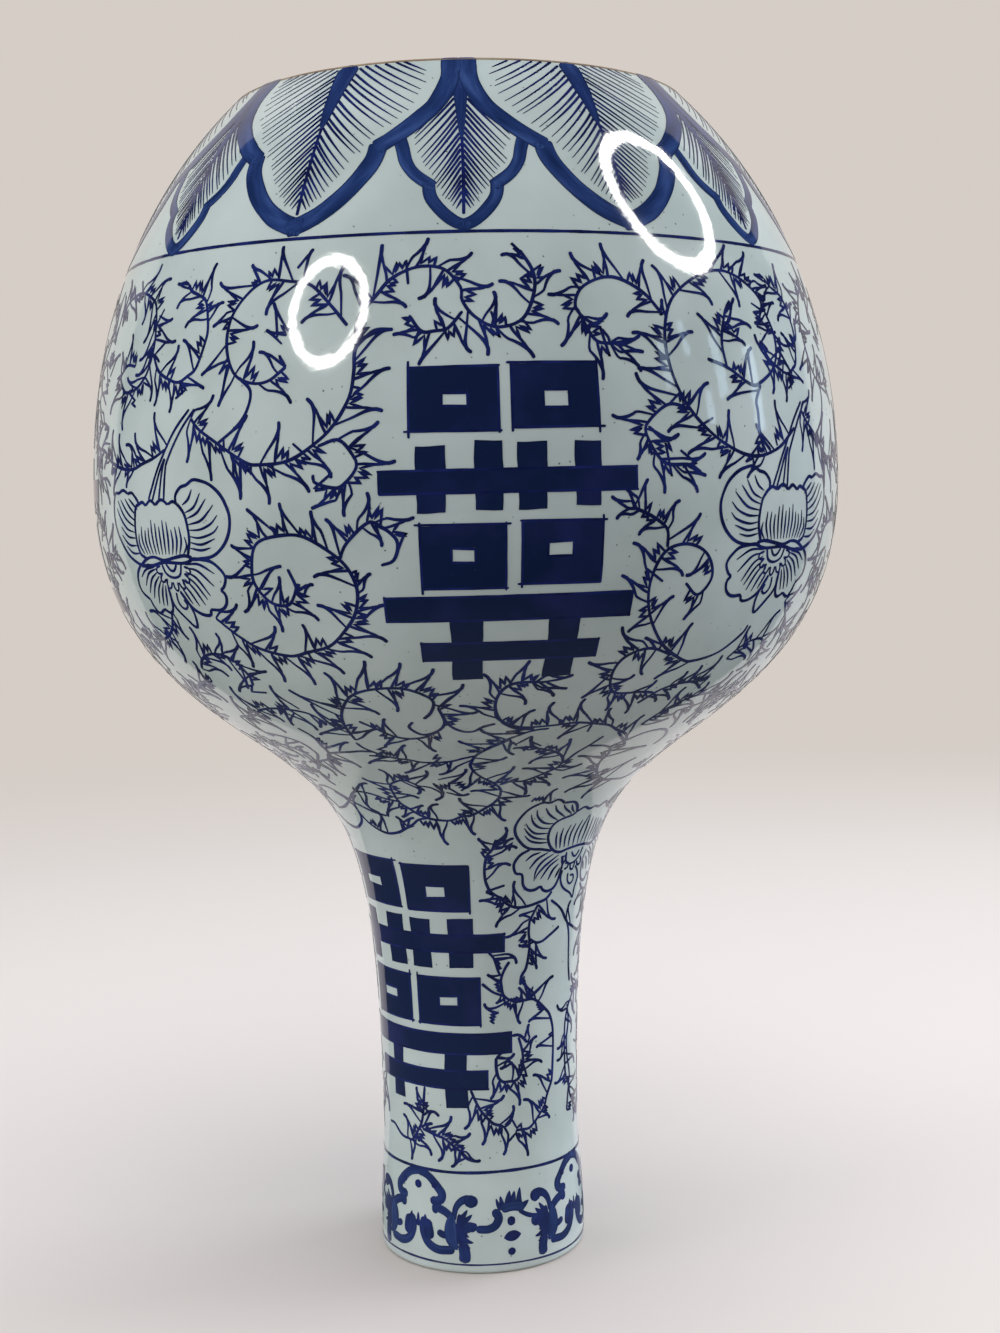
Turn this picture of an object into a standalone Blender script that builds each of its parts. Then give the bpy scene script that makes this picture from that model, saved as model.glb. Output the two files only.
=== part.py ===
"""Globe vase, porcelain, modelled standing on its mouth with its foot uppermost.

A tall blue and white vase of this kind is thrown in sections on the wheel. The sections are
trimmed to matching lap joints and luted together with a coil of slip pressed round the inside
of every joint. Each section and each coil is its own turned solid here.

Units are metres and +Z is up. The axis of the vase is the Z axis, the mouth rests on z = 0
and the foot ring is at the top.
"""

import math

import bpy
import numpy as np
from mathutils import Vector

# Outline stations, from the mouth up to the foot: radius and height of the outer surface
OVERALL_HEIGHT = 0.500
MOUTH_RADIUS = 0.0455
NECK_RADIUS = 0.0436
NECK_HEIGHT = 0.0575
TURN_RADIUS = 0.0812
TURN_HEIGHT = 0.2192
GLOBE_RADIUS = 0.1600
GLOBE_HEIGHT = 0.3380
FOOT_RADIUS = 0.0948

# Lean of the outline from the vertical at three of the stations, positive where it widens upwards
MOUTH_LEAN = math.radians(2.0)
TURN_LEAN = math.radians(49.0)
FOOT_LEAN = math.radians(-47.0)

# Fullness of each stretch of the outline: its two handles as shares of its own chord
NECK_FULLNESS = (0.40, 0.28)
FLARE_FULLNESS = (0.73, 0.205)
SHOULDER_FULLNESS = (0.253, 0.513)
BELLY_FULLNESS = (0.37, 0.334)

# Wall thickness at the mouth, neck, turn, globe and foot stations
MOUTH_WALL = 0.0060
NECK_WALL = 0.0060
TURN_WALL = 0.0068
GLOBE_WALL = 0.0068
FOOT_WALL = 0.0090

# Where the thrown sections are joined; the two halves of the globe meet at its widest line
RIM_SECTION_HEIGHT = 0.0300
SHOULDER_BELOW_TURN = 0.0332
FOOT_SECTION_HEIGHT = 0.0720

# Lap joint and luting coil
LAP = 0.0060
COIL_HEIGHT = 0.0110
COIL_DEPTH = 0.0030
GAP = 0.0003

# Lip of the mouth
LIP_ROUND = 0.0020

# Foot ring, its ledge and the base set into it
RING_WIDTH = 0.0085
RING_CHAMFER = 0.0010
RECESS = 0.0090
BASE_THICKNESS = 0.0080
BASE_DISH = 0.0025
LEDGE_WIDTH = 0.0060
LEDGE_THICKNESS = 0.0065
BASE_COIL = 0.0045

# Sides of every turned shape, and points along the walls of each section
TURN_STEPS = 48
OUTER_POINTS = 9
INNER_POINTS = 6
RIM_POINTS = 4
FOOT_POINTS = 4
ROUND_POINTS = 4
COIL_POINTS = 5
FINE_STEPS = 200
MERGE = 0.00001

GLAZE = (0.70, 0.76, 0.72, 1.0)
SLIP = (0.86, 0.84, 0.79, 1.0)
GLAZE_ROUGHNESS = 0.08
SLIP_ROUGHNESS = 0.75


def lean_direction(lean):
    """The upward direction of the outline where it leans by this angle."""
    return Vector((math.sin(lean), math.cos(lean)))


def build_stretches():
    """The four cubic stretches of the outline, each as its four control points in (r, z)."""
    stations = [
        (Vector((MOUTH_RADIUS, 0.0)), MOUTH_LEAN),
        (Vector((NECK_RADIUS, NECK_HEIGHT)), 0.0),
        (Vector((TURN_RADIUS, TURN_HEIGHT)), TURN_LEAN),
        (Vector((GLOBE_RADIUS, GLOBE_HEIGHT)), 0.0),
        (Vector((FOOT_RADIUS, OVERALL_HEIGHT)), FOOT_LEAN),
    ]
    fullness = (NECK_FULLNESS, FLARE_FULLNESS, SHOULDER_FULLNESS, BELLY_FULLNESS)
    stretches = []
    for (start, lean_a), (end, lean_b), (pull_a, pull_b) in zip(stations, stations[1:], fullness):
        chord = (end - start).length
        handle_a = start + lean_direction(lean_a) * chord * pull_a
        handle_b = end - lean_direction(lean_b) * chord * pull_b
        stretches.append((start, handle_a, handle_b, end))
    return stretches


def cubic(stretch, u):
    """Point of a cubic stretch at u, from 0 to 1."""
    a, b, c, d = stretch
    v = 1.0 - u
    return a * v ** 3 + b * 3.0 * v * v * u + c * 3.0 * v * u * u + d * u ** 3


def cubic_speed(stretch, u):
    """Derivative of a cubic stretch at u."""
    a, b, c, d = stretch
    v = 1.0 - u
    return (b - a) * 3.0 * v * v + (c - b) * 6.0 * v * u + (d - c) * 3.0 * u * u


def measure(stretches):
    """Distance along the outline at every fine step of its station number."""
    numbers = [i / FINE_STEPS for i in range(len(stretches) * FINE_STEPS + 1)]
    lengths = [0.0]
    for index, stretch in enumerate(stretches):
        for i in range(FINE_STEPS):
            step = cubic(stretch, (i + 1) / FINE_STEPS) - cubic(stretch, i / FINE_STEPS)
            lengths.append(lengths[-1] + step.length)
    return numbers, lengths


STRETCHES = build_stretches()
STATION_NUMBERS, STATION_LENGTHS = measure(STRETCHES)
OUTLINE_LENGTH = STATION_LENGTHS[-1]
WALLS = (MOUTH_WALL, NECK_WALL, TURN_WALL, GLOBE_WALL, FOOT_WALL)


def stretch_at(s):
    """The stretch reached at distance s along the outline, and the place on it from 0 to 1."""
    number = float(np.interp(s, STATION_LENGTHS, STATION_NUMBERS))
    index = min(int(number), len(STRETCHES) - 1)
    return index, number - index


def wall(s):
    """Wall thickness at distance s."""
    index, u = stretch_at(s)
    return WALLS[index] * (1.0 - u) + WALLS[index + 1] * u


def in_wall(s, depth):
    """Point at a depth below the outer surface at distance s, square to that surface."""
    index, u = stretch_at(s)
    along = cubic_speed(STRETCHES[index], u).normalized()
    outward = Vector((along.y, -along.x))
    return cubic(STRETCHES[index], u) - outward * depth


def distance_at(height, depth_share=0.0):
    """Distance at which the wall, at this share of its thickness, reaches a height."""
    low, high = 0.0, OUTLINE_LENGTH
    for _ in range(50):
        middle = (low + high) / 2.0
        if in_wall(middle, wall(middle) * depth_share).y < height:
            low = middle
        else:
            high = middle
    return (low + high) / 2.0


def spaced(start, end, count):
    """Evenly spaced distances from start to end, both included."""
    return [start + (end - start) * i / (count - 1) for i in range(count)]


def lap_below(s):
    """Corners of the socket at a section's mouth end, from its outer to its inner side."""
    skin = s + GAP / 2.0
    back = s + LAP + GAP
    return [
        in_wall(skin, wall(skin) / 2.0 - GAP / 2.0),
        in_wall(back, wall(back) / 2.0 - GAP / 2.0),
    ]


def lap_above(s):
    """Corners of the tongue at a section's foot end, from its inner to its outer side."""
    skin = s - GAP / 2.0
    tip = s + LAP
    return [
        in_wall(tip, wall(tip) / 2.0 + GAP / 2.0),
        in_wall(skin, wall(skin) / 2.0 + GAP / 2.0),
    ]


def outer_side(low, high, count):
    """Outer surface from distance high down to distance low."""
    return [in_wall(s, 0.0) for s in spaced(high, low, count)]


def inner_side(low, high, count):
    """Inner surface from distance low up to distance high."""
    return [in_wall(s, wall(s)) for s in spaced(low, high, count)]


def coil_seat(s):
    """Inner surface at a section's own end, under the middle of a luting coil."""
    return [in_wall(s, wall(s))]


def middle_section(low_joint, high_joint):
    """Closed profile of a section with a socket at its mouth end and a tongue at its foot end."""
    outer = outer_side(low_joint + GAP / 2.0, high_joint - GAP / 2.0, OUTER_POINTS)
    low, high = low_joint + LAP, high_joint + LAP
    inner = coil_seat(low + GAP)
    inner += inner_side(low + COIL_HEIGHT / 2.0, high - COIL_HEIGHT / 2.0, INNER_POINTS)
    inner += coil_seat(high)
    return outer + lap_below(low_joint) + inner + lap_above(high_joint)


def arc(centre, radius, start, end, count):
    """Points of a round from one angle to another, in degrees from the +R direction."""
    points = []
    for i in range(count):
        angle = math.radians(start + (end - start) * i / (count - 1))
        points.append(centre + Vector((math.cos(angle), math.sin(angle))) * radius)
    return points


def rim_profile(joint):
    """Mouth rim: a rounded lip with a narrow flat that the vase stands on here."""
    lip_top = distance_at(LIP_ROUND)
    outer = outer_side(lip_top, joint - GAP / 2.0, RIM_POINTS)
    edge = outer.pop()
    back = in_wall(lip_top, wall(lip_top))
    lip = arc(Vector((edge.x - LIP_ROUND, LIP_ROUND)), LIP_ROUND, 0.0, -90.0, ROUND_POINTS)
    lip += arc(Vector((back.x + LIP_ROUND, LIP_ROUND)), LIP_ROUND, -90.0, -180.0, ROUND_POINTS)
    tip = joint + LAP
    inner = inner_side(lip_top, tip - COIL_HEIGHT / 2.0, RIM_POINTS)[1:] + coil_seat(tip)
    return outer + lip + inner + lap_above(joint)


def foot_profile(joint):
    """Foot section: the lower wall, the foot ring and the ledge that the base is set on."""
    ring_inner = FOOT_RADIUS - RING_WIDTH
    ledge_top = OVERALL_HEIGHT - RECESS - BASE_THICKNESS
    ledge_bottom = ledge_top - LEDGE_THICKNESS
    ledge_inner = ring_inner - LEDGE_WIDTH
    outer_top = distance_at(OVERALL_HEIGHT - RING_CHAMFER)
    outer = outer_side(joint + GAP / 2.0, outer_top, OUTER_POINTS)
    ring = [
        Vector((ring_inner, ledge_top)),
        Vector((ring_inner, OVERALL_HEIGHT - RING_CHAMFER)),
        Vector((ring_inner + RING_CHAMFER, OVERALL_HEIGHT)),
        Vector((FOOT_RADIUS - RING_CHAMFER, OVERALL_HEIGHT)),
    ]
    ledge = [
        Vector((ledge_inner, ledge_bottom)),
        Vector((ledge_inner, ledge_top)),
    ]
    inner_top = distance_at(ledge_bottom, 1.0)
    start = joint + LAP
    inner = coil_seat(start + GAP)
    inner += inner_side(start + COIL_HEIGHT / 2.0, inner_top, FOOT_POINTS)
    return outer + lap_below(joint) + inner + ledge + ring


def base_profile():
    """Base: a disc laid on the foot ring's ledge, slightly dished on its outer face."""
    edge = FOOT_RADIUS - RING_WIDTH - GAP
    bottom = OVERALL_HEIGHT - RECESS - BASE_THICKNESS + GAP
    top = OVERALL_HEIGHT - RECESS
    dished = []
    for share in (0.0, 0.35, 0.65, 0.88):
        sink = BASE_DISH * (1.0 - share * share)
        dished.append(Vector((edge * share, top - sink)))
    return dished + [Vector((edge, top)), Vector((edge, bottom)), Vector((0.0, bottom))]


def coil_profile(joint):
    """Luting coil: a flattened bead of slip pressed over the inner line of a lap joint."""
    centre = joint + LAP
    half = COIL_HEIGHT / 2.0
    back = [in_wall(s, wall(s) + GAP) for s in spaced(centre + half, centre - half, COIL_POINTS)]
    bead = []
    for i in range(1, COIL_POINTS - 1):
        angle = math.pi * i / (COIL_POINTS - 1)
        s = centre - half * math.cos(angle)
        bead.append(in_wall(s, wall(s) + GAP + COIL_DEPTH * math.sin(angle)))
    return back + bead


def base_coil_profile():
    """Coil of slip in the corner between the base and the inside of its ledge."""
    corner = Vector((
        FOOT_RADIUS - RING_WIDTH - LEDGE_WIDTH - GAP,
        OVERALL_HEIGHT - RECESS - BASE_THICKNESS,
    ))
    hollow = arc(corner, BASE_COIL, 270.0, 180.0, ROUND_POINTS)
    return [corner] + hollow


def make_material(name, colour, roughness):
    """Plain Principled material."""
    material = bpy.data.materials.new(name)
    material.use_nodes = True
    shader = material.node_tree.nodes["Principled BSDF"]
    shader.inputs["Base Color"].default_value = colour
    shader.inputs["Roughness"].default_value = roughness
    shader.inputs["Metallic"].default_value = 0.0
    material.diffuse_color = colour
    return material


def turn(name, profile, closed, colour, roughness, collection):
    """Turn a profile in the XZ plane round the Z axis with a Screw modifier."""
    mesh = bpy.data.meshes.new(name)
    verts = [(point.x, 0.0, point.y) for point in profile]
    edges = [(i, i + 1) for i in range(len(verts) - 1)]
    if closed:
        edges.append((len(verts) - 1, 0))
    mesh.from_pydata(verts, edges, [])
    turned = bpy.data.objects.new(name, mesh)
    collection.objects.link(turned)
    mesh.materials.append(make_material(name + "_finish", colour, roughness))
    screw = turned.modifiers.new("Turn", "SCREW")
    screw.axis = "Z"
    screw.angle = 2.0 * math.pi
    screw.steps = TURN_STEPS
    screw.render_steps = TURN_STEPS
    screw.use_merge_vertices = True
    screw.merge_threshold = MERGE
    screw.use_smooth_shade = True
    return turned


def build_vase():
    """Build every section, the base and the luting coils."""
    collection = bpy.data.collections.new("globe_vase")
    bpy.context.scene.collection.children.link(collection)

    rim_joint = distance_at(RIM_SECTION_HEIGHT)
    neck_joint = distance_at(TURN_HEIGHT - SHOULDER_BELOW_TURN)
    globe_joint = distance_at(GLOBE_HEIGHT)
    foot_joint = distance_at(OVERALL_HEIGHT - FOOT_SECTION_HEIGHT)

    sections = {
        "mouth_rim": rim_profile(rim_joint),
        "neck": middle_section(rim_joint, neck_joint),
        "shoulder": middle_section(neck_joint, globe_joint),
        "belly": middle_section(globe_joint, foot_joint),
        "foot_section": foot_profile(foot_joint),
    }
    for name, profile in sections.items():
        turn(name, profile, True, GLAZE, GLAZE_ROUGHNESS, collection)
    turn("base_disc", base_profile(), False, GLAZE, GLAZE_ROUGHNESS, collection)

    coils = {
        "rim_luting_coil": coil_profile(rim_joint),
        "neck_luting_coil": coil_profile(neck_joint),
        "globe_luting_coil": coil_profile(globe_joint),
        "foot_luting_coil": coil_profile(foot_joint),
        "base_luting_coil": base_coil_profile(),
    }
    for name, profile in coils.items():
        turn(name, profile, True, SLIP, SLIP_ROUGHNESS, collection)


for leftover in list(bpy.data.objects):
    bpy.data.objects.remove(leftover, do_unlink=True)
build_vase()
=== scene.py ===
import logging
import math
import random
from collections.abc import Callable, Iterable, Sequence
from dataclasses import dataclass, field
from enum import Enum

import bmesh
import bpy
import numpy as np
from mathutils import Matrix, Vector


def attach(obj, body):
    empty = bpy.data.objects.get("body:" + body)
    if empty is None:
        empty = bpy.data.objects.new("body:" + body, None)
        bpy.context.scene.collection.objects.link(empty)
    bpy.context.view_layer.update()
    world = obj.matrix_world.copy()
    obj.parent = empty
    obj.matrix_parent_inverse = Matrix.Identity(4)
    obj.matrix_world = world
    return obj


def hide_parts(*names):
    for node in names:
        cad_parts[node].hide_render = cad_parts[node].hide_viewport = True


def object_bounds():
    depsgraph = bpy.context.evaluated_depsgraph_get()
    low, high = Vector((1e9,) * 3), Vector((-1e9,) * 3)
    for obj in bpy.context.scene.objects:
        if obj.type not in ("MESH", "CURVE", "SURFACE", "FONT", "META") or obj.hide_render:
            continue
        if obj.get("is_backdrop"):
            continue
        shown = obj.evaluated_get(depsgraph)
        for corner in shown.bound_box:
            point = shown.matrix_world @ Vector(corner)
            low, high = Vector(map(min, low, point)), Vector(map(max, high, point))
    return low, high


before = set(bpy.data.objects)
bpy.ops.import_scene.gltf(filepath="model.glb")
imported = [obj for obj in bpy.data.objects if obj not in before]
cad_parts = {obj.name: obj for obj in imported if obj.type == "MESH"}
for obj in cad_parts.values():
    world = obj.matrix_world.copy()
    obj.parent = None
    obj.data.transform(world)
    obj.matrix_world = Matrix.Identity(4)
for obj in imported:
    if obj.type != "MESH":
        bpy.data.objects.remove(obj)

logging.basicConfig(level=logging.INFO, format="%(message)s")
log = logging.getLogger("globe_vase")

BODY = "root"
CAD_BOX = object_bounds()

Spot = tuple[float, float]
Place = tuple[float, float, float]
Bar = tuple[float, float, float, float]
Strokes = tuple[tuple[Spot, ...], ...]
Paths = list[list[Spot]]
Floats = np.ndarray
Finish = tuple[bpy.types.Material, bpy.types.Node]

HALVES = (0.0, 180.0)
MARKS = ("along", "across", "wash", "dense")


def linear(hex_colour: str) -> tuple[float, float, float, float]:
    """Turn an sRGB hex colour into the linear colour that a shader socket takes.

    Args:
        hex_colour: Colour such as "#1c2452".

    Returns:
        Linear red, green, blue and an alpha of 1.
    """
    channels = [int(hex_colour[i:i + 2], 16) / 255.0 for i in (1, 3, 5)]
    low, slope, offset, power = 0.04045, 12.92, 0.055, 2.4
    values = [c / slope if c <= low else ((c + offset) / (1.0 + offset)) ** power for c in channels]
    return (values[0], values[1], values[2], 1.0)


def add_node(tree: bpy.types.NodeTree, kind: str, settings: dict | None = None,
             links: dict | None = None, values: dict | None = None) -> bpy.types.Node:
    """Add a node with its settings, socket values and incoming links.

    Args:
        tree: Node tree that the node goes into.
        kind: Node type, such as "ShaderNodeTexNoise".
        settings: Properties of the node itself.
        links: Input name or index, and the output socket that feeds it.
        values: Input name or index, and its constant value.

    Returns:
        The new node.
    """
    node = tree.nodes.new(kind)
    for name, value in (settings or {}).items():
        setattr(node, name, value)
    for name, value in (values or {}).items():
        node.inputs[name].default_value = value
    for name, socket in (links or {}).items():
        tree.links.new(socket, node.inputs[name])
    return node


def ramp(tree: bpy.types.NodeTree, source: bpy.types.NodeSocket,
         stops: Sequence[tuple[float, float | str]]) -> bpy.types.NodeSocket:
    """Map a 0 to 1 value through a colour ramp.

    Args:
        tree: Node tree of the material.
        source: Value that drives the ramp.
        stops: Position, and a grey level or a hex colour, of each stop.

    Returns:
        The ramp's colour output.
    """
    node = add_node(tree, "ShaderNodeValToRGB", links={"Fac": source})
    elements = node.color_ramp.elements
    while len(elements) < len(stops):
        elements.new(1.0)
    for element, (position, tone) in zip(elements, stops):
        element.position = position
        element.color = linear(tone) if isinstance(tone, str) else (tone, tone, tone, 1.0)
    return node.outputs["Color"]


def new_material(name: str, constants: dict[str, float]) -> Finish:
    """Start a material.

    Args:
        name: Name of the material.
        constants: Inputs of its shader that are the same all over the surface.

    Returns:
        The material, and its shader.
    """
    material = bpy.data.materials.new(name)
    material.use_nodes = True
    shader = material.node_tree.nodes["Principled BSDF"]
    for socket, value in constants.items():
        shader.inputs[socket].default_value = value
    return material, shader


def new_glow(name: str, tint: str, strength: float = 1.0) -> Finish:
    """Start a material that only glows.

    Args:
        name: Name of the material.
        tint: Hex colour of its glow.
        strength: Strength of its glow.

    Returns:
        The material, and its emission node.
    """
    material = bpy.data.materials.new(name)
    material.use_nodes = True
    tree = material.node_tree
    tree.nodes.clear()
    glow = add_node(tree, "ShaderNodeEmission",
                    values={"Color": linear(tint), "Strength": strength})
    add_node(tree, "ShaderNodeOutputMaterial", links={"Surface": glow.outputs[0]})
    return material, glow


def new_object(name: str, shape: bmesh.types.BMesh,
               material: bpy.types.Material) -> bpy.types.Object:
    """Make an object of the scene from a shape, which is used up.

    Args:
        name: Name of the object.
        shape: Its mesh, in place.
        material: Its finish.

    Returns:
        The object, with smooth faces.
    """
    mesh = bpy.data.meshes.new(name)
    shape.to_mesh(mesh)
    shape.free()
    mesh.shade_smooth()
    mesh.materials.append(material)
    made = bpy.data.objects.new(name, mesh)
    bpy.context.scene.collection.objects.link(made)
    return made


# The vase's outline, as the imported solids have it. Angles round the vase are in degrees from the
# side that faces the camera, and distances along the outline are in millimetres from the mouth.

@dataclass
class VaseOutline:
    """Outer surface of the vase: four cubic stretches between five stations, mouth to foot."""

    height: float
    globe_radius: float
    mouth_radius: float = 0.0455
    neck_radius: float = 0.0436
    neck_height: float = 0.0575
    turn_radius: float = 0.0812
    turn_height: float = 0.2192
    globe_height: float = 0.3380
    foot_radius: float = 0.0948
    mouth_lean: float = 2.0
    turn_lean: float = 49.0
    foot_lean: float = -47.0
    fullness: tuple[Spot, ...] = ((0.40, 0.28), (0.73, 0.205), (0.253, 0.513), (0.37, 0.334))
    walls: tuple[float, ...] = (0.0060, 0.0060, 0.0068, 0.0068, 0.0090)
    steps: int = 400
    length: float = field(init=False)

    def __post_init__(self) -> None:
        """Measure the outline once, so that any place on it can be looked up."""
        radii = (self.mouth_radius, self.neck_radius, self.turn_radius,
                 self.globe_radius, self.foot_radius)
        heights = (0.0, self.neck_height, self.turn_height, self.globe_height, self.height)
        leans = np.radians((self.mouth_lean, 0.0, self.turn_lean, 0.0, self.foot_lean))
        spots, ways, walls = [], [], []
        for i, (pull_a, pull_b) in enumerate(self.fullness):
            start, end = np.array((radii[i], heights[i])), np.array((radii[i + 1], heights[i + 1]))
            chord = np.linalg.norm(end - start)
            handle_a = start + np.array((math.sin(leans[i]), math.cos(leans[i]))) * chord * pull_a
            lean_b = leans[i + 1]
            handle_b = end - np.array((math.sin(lean_b), math.cos(lean_b))) * chord * pull_b
            u = np.linspace(0.0, 1.0, self.steps + 1)[1 if i else 0:, None]
            v = 1.0 - u
            spots.append(start * v ** 3 + handle_a * 3 * v * v * u + handle_b * 3 * v * u * u
                         + end * u ** 3)
            ways.append((handle_a - start) * v * v + (handle_b - handle_a) * 2 * v * u
                        + (end - handle_b) * u * u)
            walls.append(self.walls[i] * v[:, 0] + self.walls[i + 1] * u[:, 0])
        self._spots = np.concatenate(spots)
        way = np.concatenate(ways)
        way /= np.linalg.norm(way, axis=1)[:, None]
        self._outward = np.stack([way[:, 1], -way[:, 0]], axis=1)
        self._walls = np.concatenate(walls)
        steps = np.linalg.norm(np.diff(self._spots, axis=0), axis=1)
        self._distances = np.concatenate([[0.0], np.cumsum(steps)])
        self.length = float(self._distances[-1])

    def _look_up(self, distances: Floats, table: Floats) -> Floats:
        """Values of a table at distances given in millimetres."""
        return np.interp(np.asarray(distances) / 1000.0, self._distances, table)

    def radius_mm(self, distances: Floats | float) -> Floats:
        """Radius of the outer surface, in millimetres, at distances in millimetres."""
        return self._look_up(distances, self._spots[:, 0]) * 1000.0

    def profile(self, distance: float, depth_share: float = 0.0) -> Vector:
        """Find a point in the wall.

        Args:
            distance: Distance from the mouth in millimetres.
            depth_share: Depth below the outer surface, as a share of the wall's thickness.

        Returns:
            The point (r, 0, z).
        """
        spot = [float(self._look_up(distance, self._spots[:, k])) for k in (0, 1)]
        out = [float(self._look_up(distance, self._outward[:, k])) for k in (0, 1)]
        depth = float(self._look_up(distance, self._walls)) * depth_share
        return Vector((spot[0] - out[0] * depth, 0.0, spot[1] - out[1] * depth))

    def distance_at(self, level: float) -> float:
        """Distance in millimetres at which the outer surface reaches a height in metres."""
        return float(np.interp(level, self._spots[:, 1], self._distances)) * 1000.0

    def place(self, angles: Floats, distances: Floats, lift: Floats) -> tuple[Floats, Floats]:
        """Put chart spots on the vase.

        Args:
            angles: Angles round the vase in degrees.
            distances: Distances from the mouth in millimetres.
            lift: Heights above the surface in metres.

        Returns:
            Positions and outward normals, one row each.
        """
        r, z = (self._look_up(distances, self._spots[:, k]) for k in (0, 1))
        out_r, out_z = (self._look_up(distances, self._outward[:, k]) for k in (0, 1))
        turn = np.radians(angles)
        across, ahead = np.sin(turn), -np.cos(turn)
        normals = np.stack([out_r * across, out_r * ahead, out_z], axis=1)
        spots = np.stack([r * across, r * ahead, z], axis=1)
        return spots + normals * np.asarray(lift)[:, None], normals

    def step(self, spot: Spot, right: float, up: float) -> Spot:
        """Chart spot reached from another by millimetres to the right and towards the foot."""
        degree = math.radians(float(self.radius_mm(spot[1] + up / 2.0)))
        return (spot[0] + right / degree, spot[1] + up)


# Finishes

@dataclass(frozen=True)
class Ripple:
    """Slow waves of a thick fired glaze, which make reflections waver."""

    wave_mm: float = 17.0
    height_mm: float = 0.024
    pore_mm: float = 3.4
    pore_height_mm: float = 0.024

    def bump(self, tree: bpy.types.NodeTree, place: bpy.types.NodeSocket) -> bpy.types.NodeSocket:
        """Add the waves to a material.

        Args:
            tree: Node tree of the material.
            place: Object coordinates.

        Returns:
            The bumped normal.
        """
        wave = add_node(tree, "ShaderNodeTexNoise", links={"Vector": place},
                        values={"Scale": 1000.0 / self.wave_mm, "Detail": 1.0, "Roughness": 0.4})
        pores = add_node(tree, "ShaderNodeTexNoise", links={"Vector": place},
                         values={"Scale": 1000.0 / self.pore_mm, "Detail": 1.0})
        fine = add_node(tree, "ShaderNodeBump", links={"Height": pores.outputs["Fac"]},
                        values={"Strength": 1.0, "Distance": self.pore_height_mm / 1000.0})
        bump = add_node(tree, "ShaderNodeBump",
                        links={"Height": wave.outputs["Fac"], "Normal": fine.outputs["Normal"]},
                        values={"Strength": 1.0, "Distance": self.height_mm / 1000.0})
        return bump.outputs["Normal"]


@dataclass(frozen=True)
class CeladonGlaze:
    """Transparent pale grey-green glaze over white porcelain, fired glossy.

    The glass layer gives clear reflections, and iron in the clay gives small dark specks.
    """

    name: str = "pale_celadon_glaze"
    thick: str = "#adb6b0"
    thin: str = "#bac2bd"
    speck: str = "#55584f"
    roughness: float = 0.06
    ior: float = 1.52
    cloud_mm: float = 45.0
    speck_cell_mm: float = 4.2
    speck_share: float = 0.12

    def make(self, ripple: Ripple) -> bpy.types.Material:
        """Build the material.

        Args:
            ripple: Waves of the glaze.

        Returns:
            The new material.
        """
        material, shader = new_material(self.name, {"Roughness": self.roughness, "IOR": self.ior})
        tree = material.node_tree
        place = add_node(tree, "ShaderNodeTexCoord").outputs["Object"]
        cloud = add_node(tree, "ShaderNodeTexNoise", links={"Vector": place},
                         values={"Scale": 1000.0 / self.cloud_mm, "Detail": 3.0})
        ground = ramp(tree, cloud.outputs["Fac"], ((0.35, self.thick), (0.65, self.thin)))
        cells = add_node(tree, "ShaderNodeTexVoronoi", links={"Vector": place},
                         values={"Scale": 1000.0 / self.speck_cell_mm})
        chance = add_node(tree, "ShaderNodeSeparateColor", links={0: cells.outputs["Color"]})
        near = ramp(tree, cells.outputs["Distance"], ((0.05, 1.0), (self.speck_share, 0.0)))
        rare = ramp(tree, chance.outputs[0], ((0.35, 0.0), (0.85, 1.0)))
        marks = add_node(tree, "ShaderNodeMath", {"operation": "MULTIPLY"},
                         links={0: near, 1: rare})
        colour = add_node(tree, "ShaderNodeMix", {"data_type": "RGBA"},
                          links={"Factor": marks.outputs[0], 6: ground},
                          values={7: linear(self.speck)})
        tree.links.new(colour.outputs[2], shader.inputs["Base Color"])
        tree.links.new(ripple.bump(tree, place), shader.inputs["Normal"])
        return material


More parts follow.
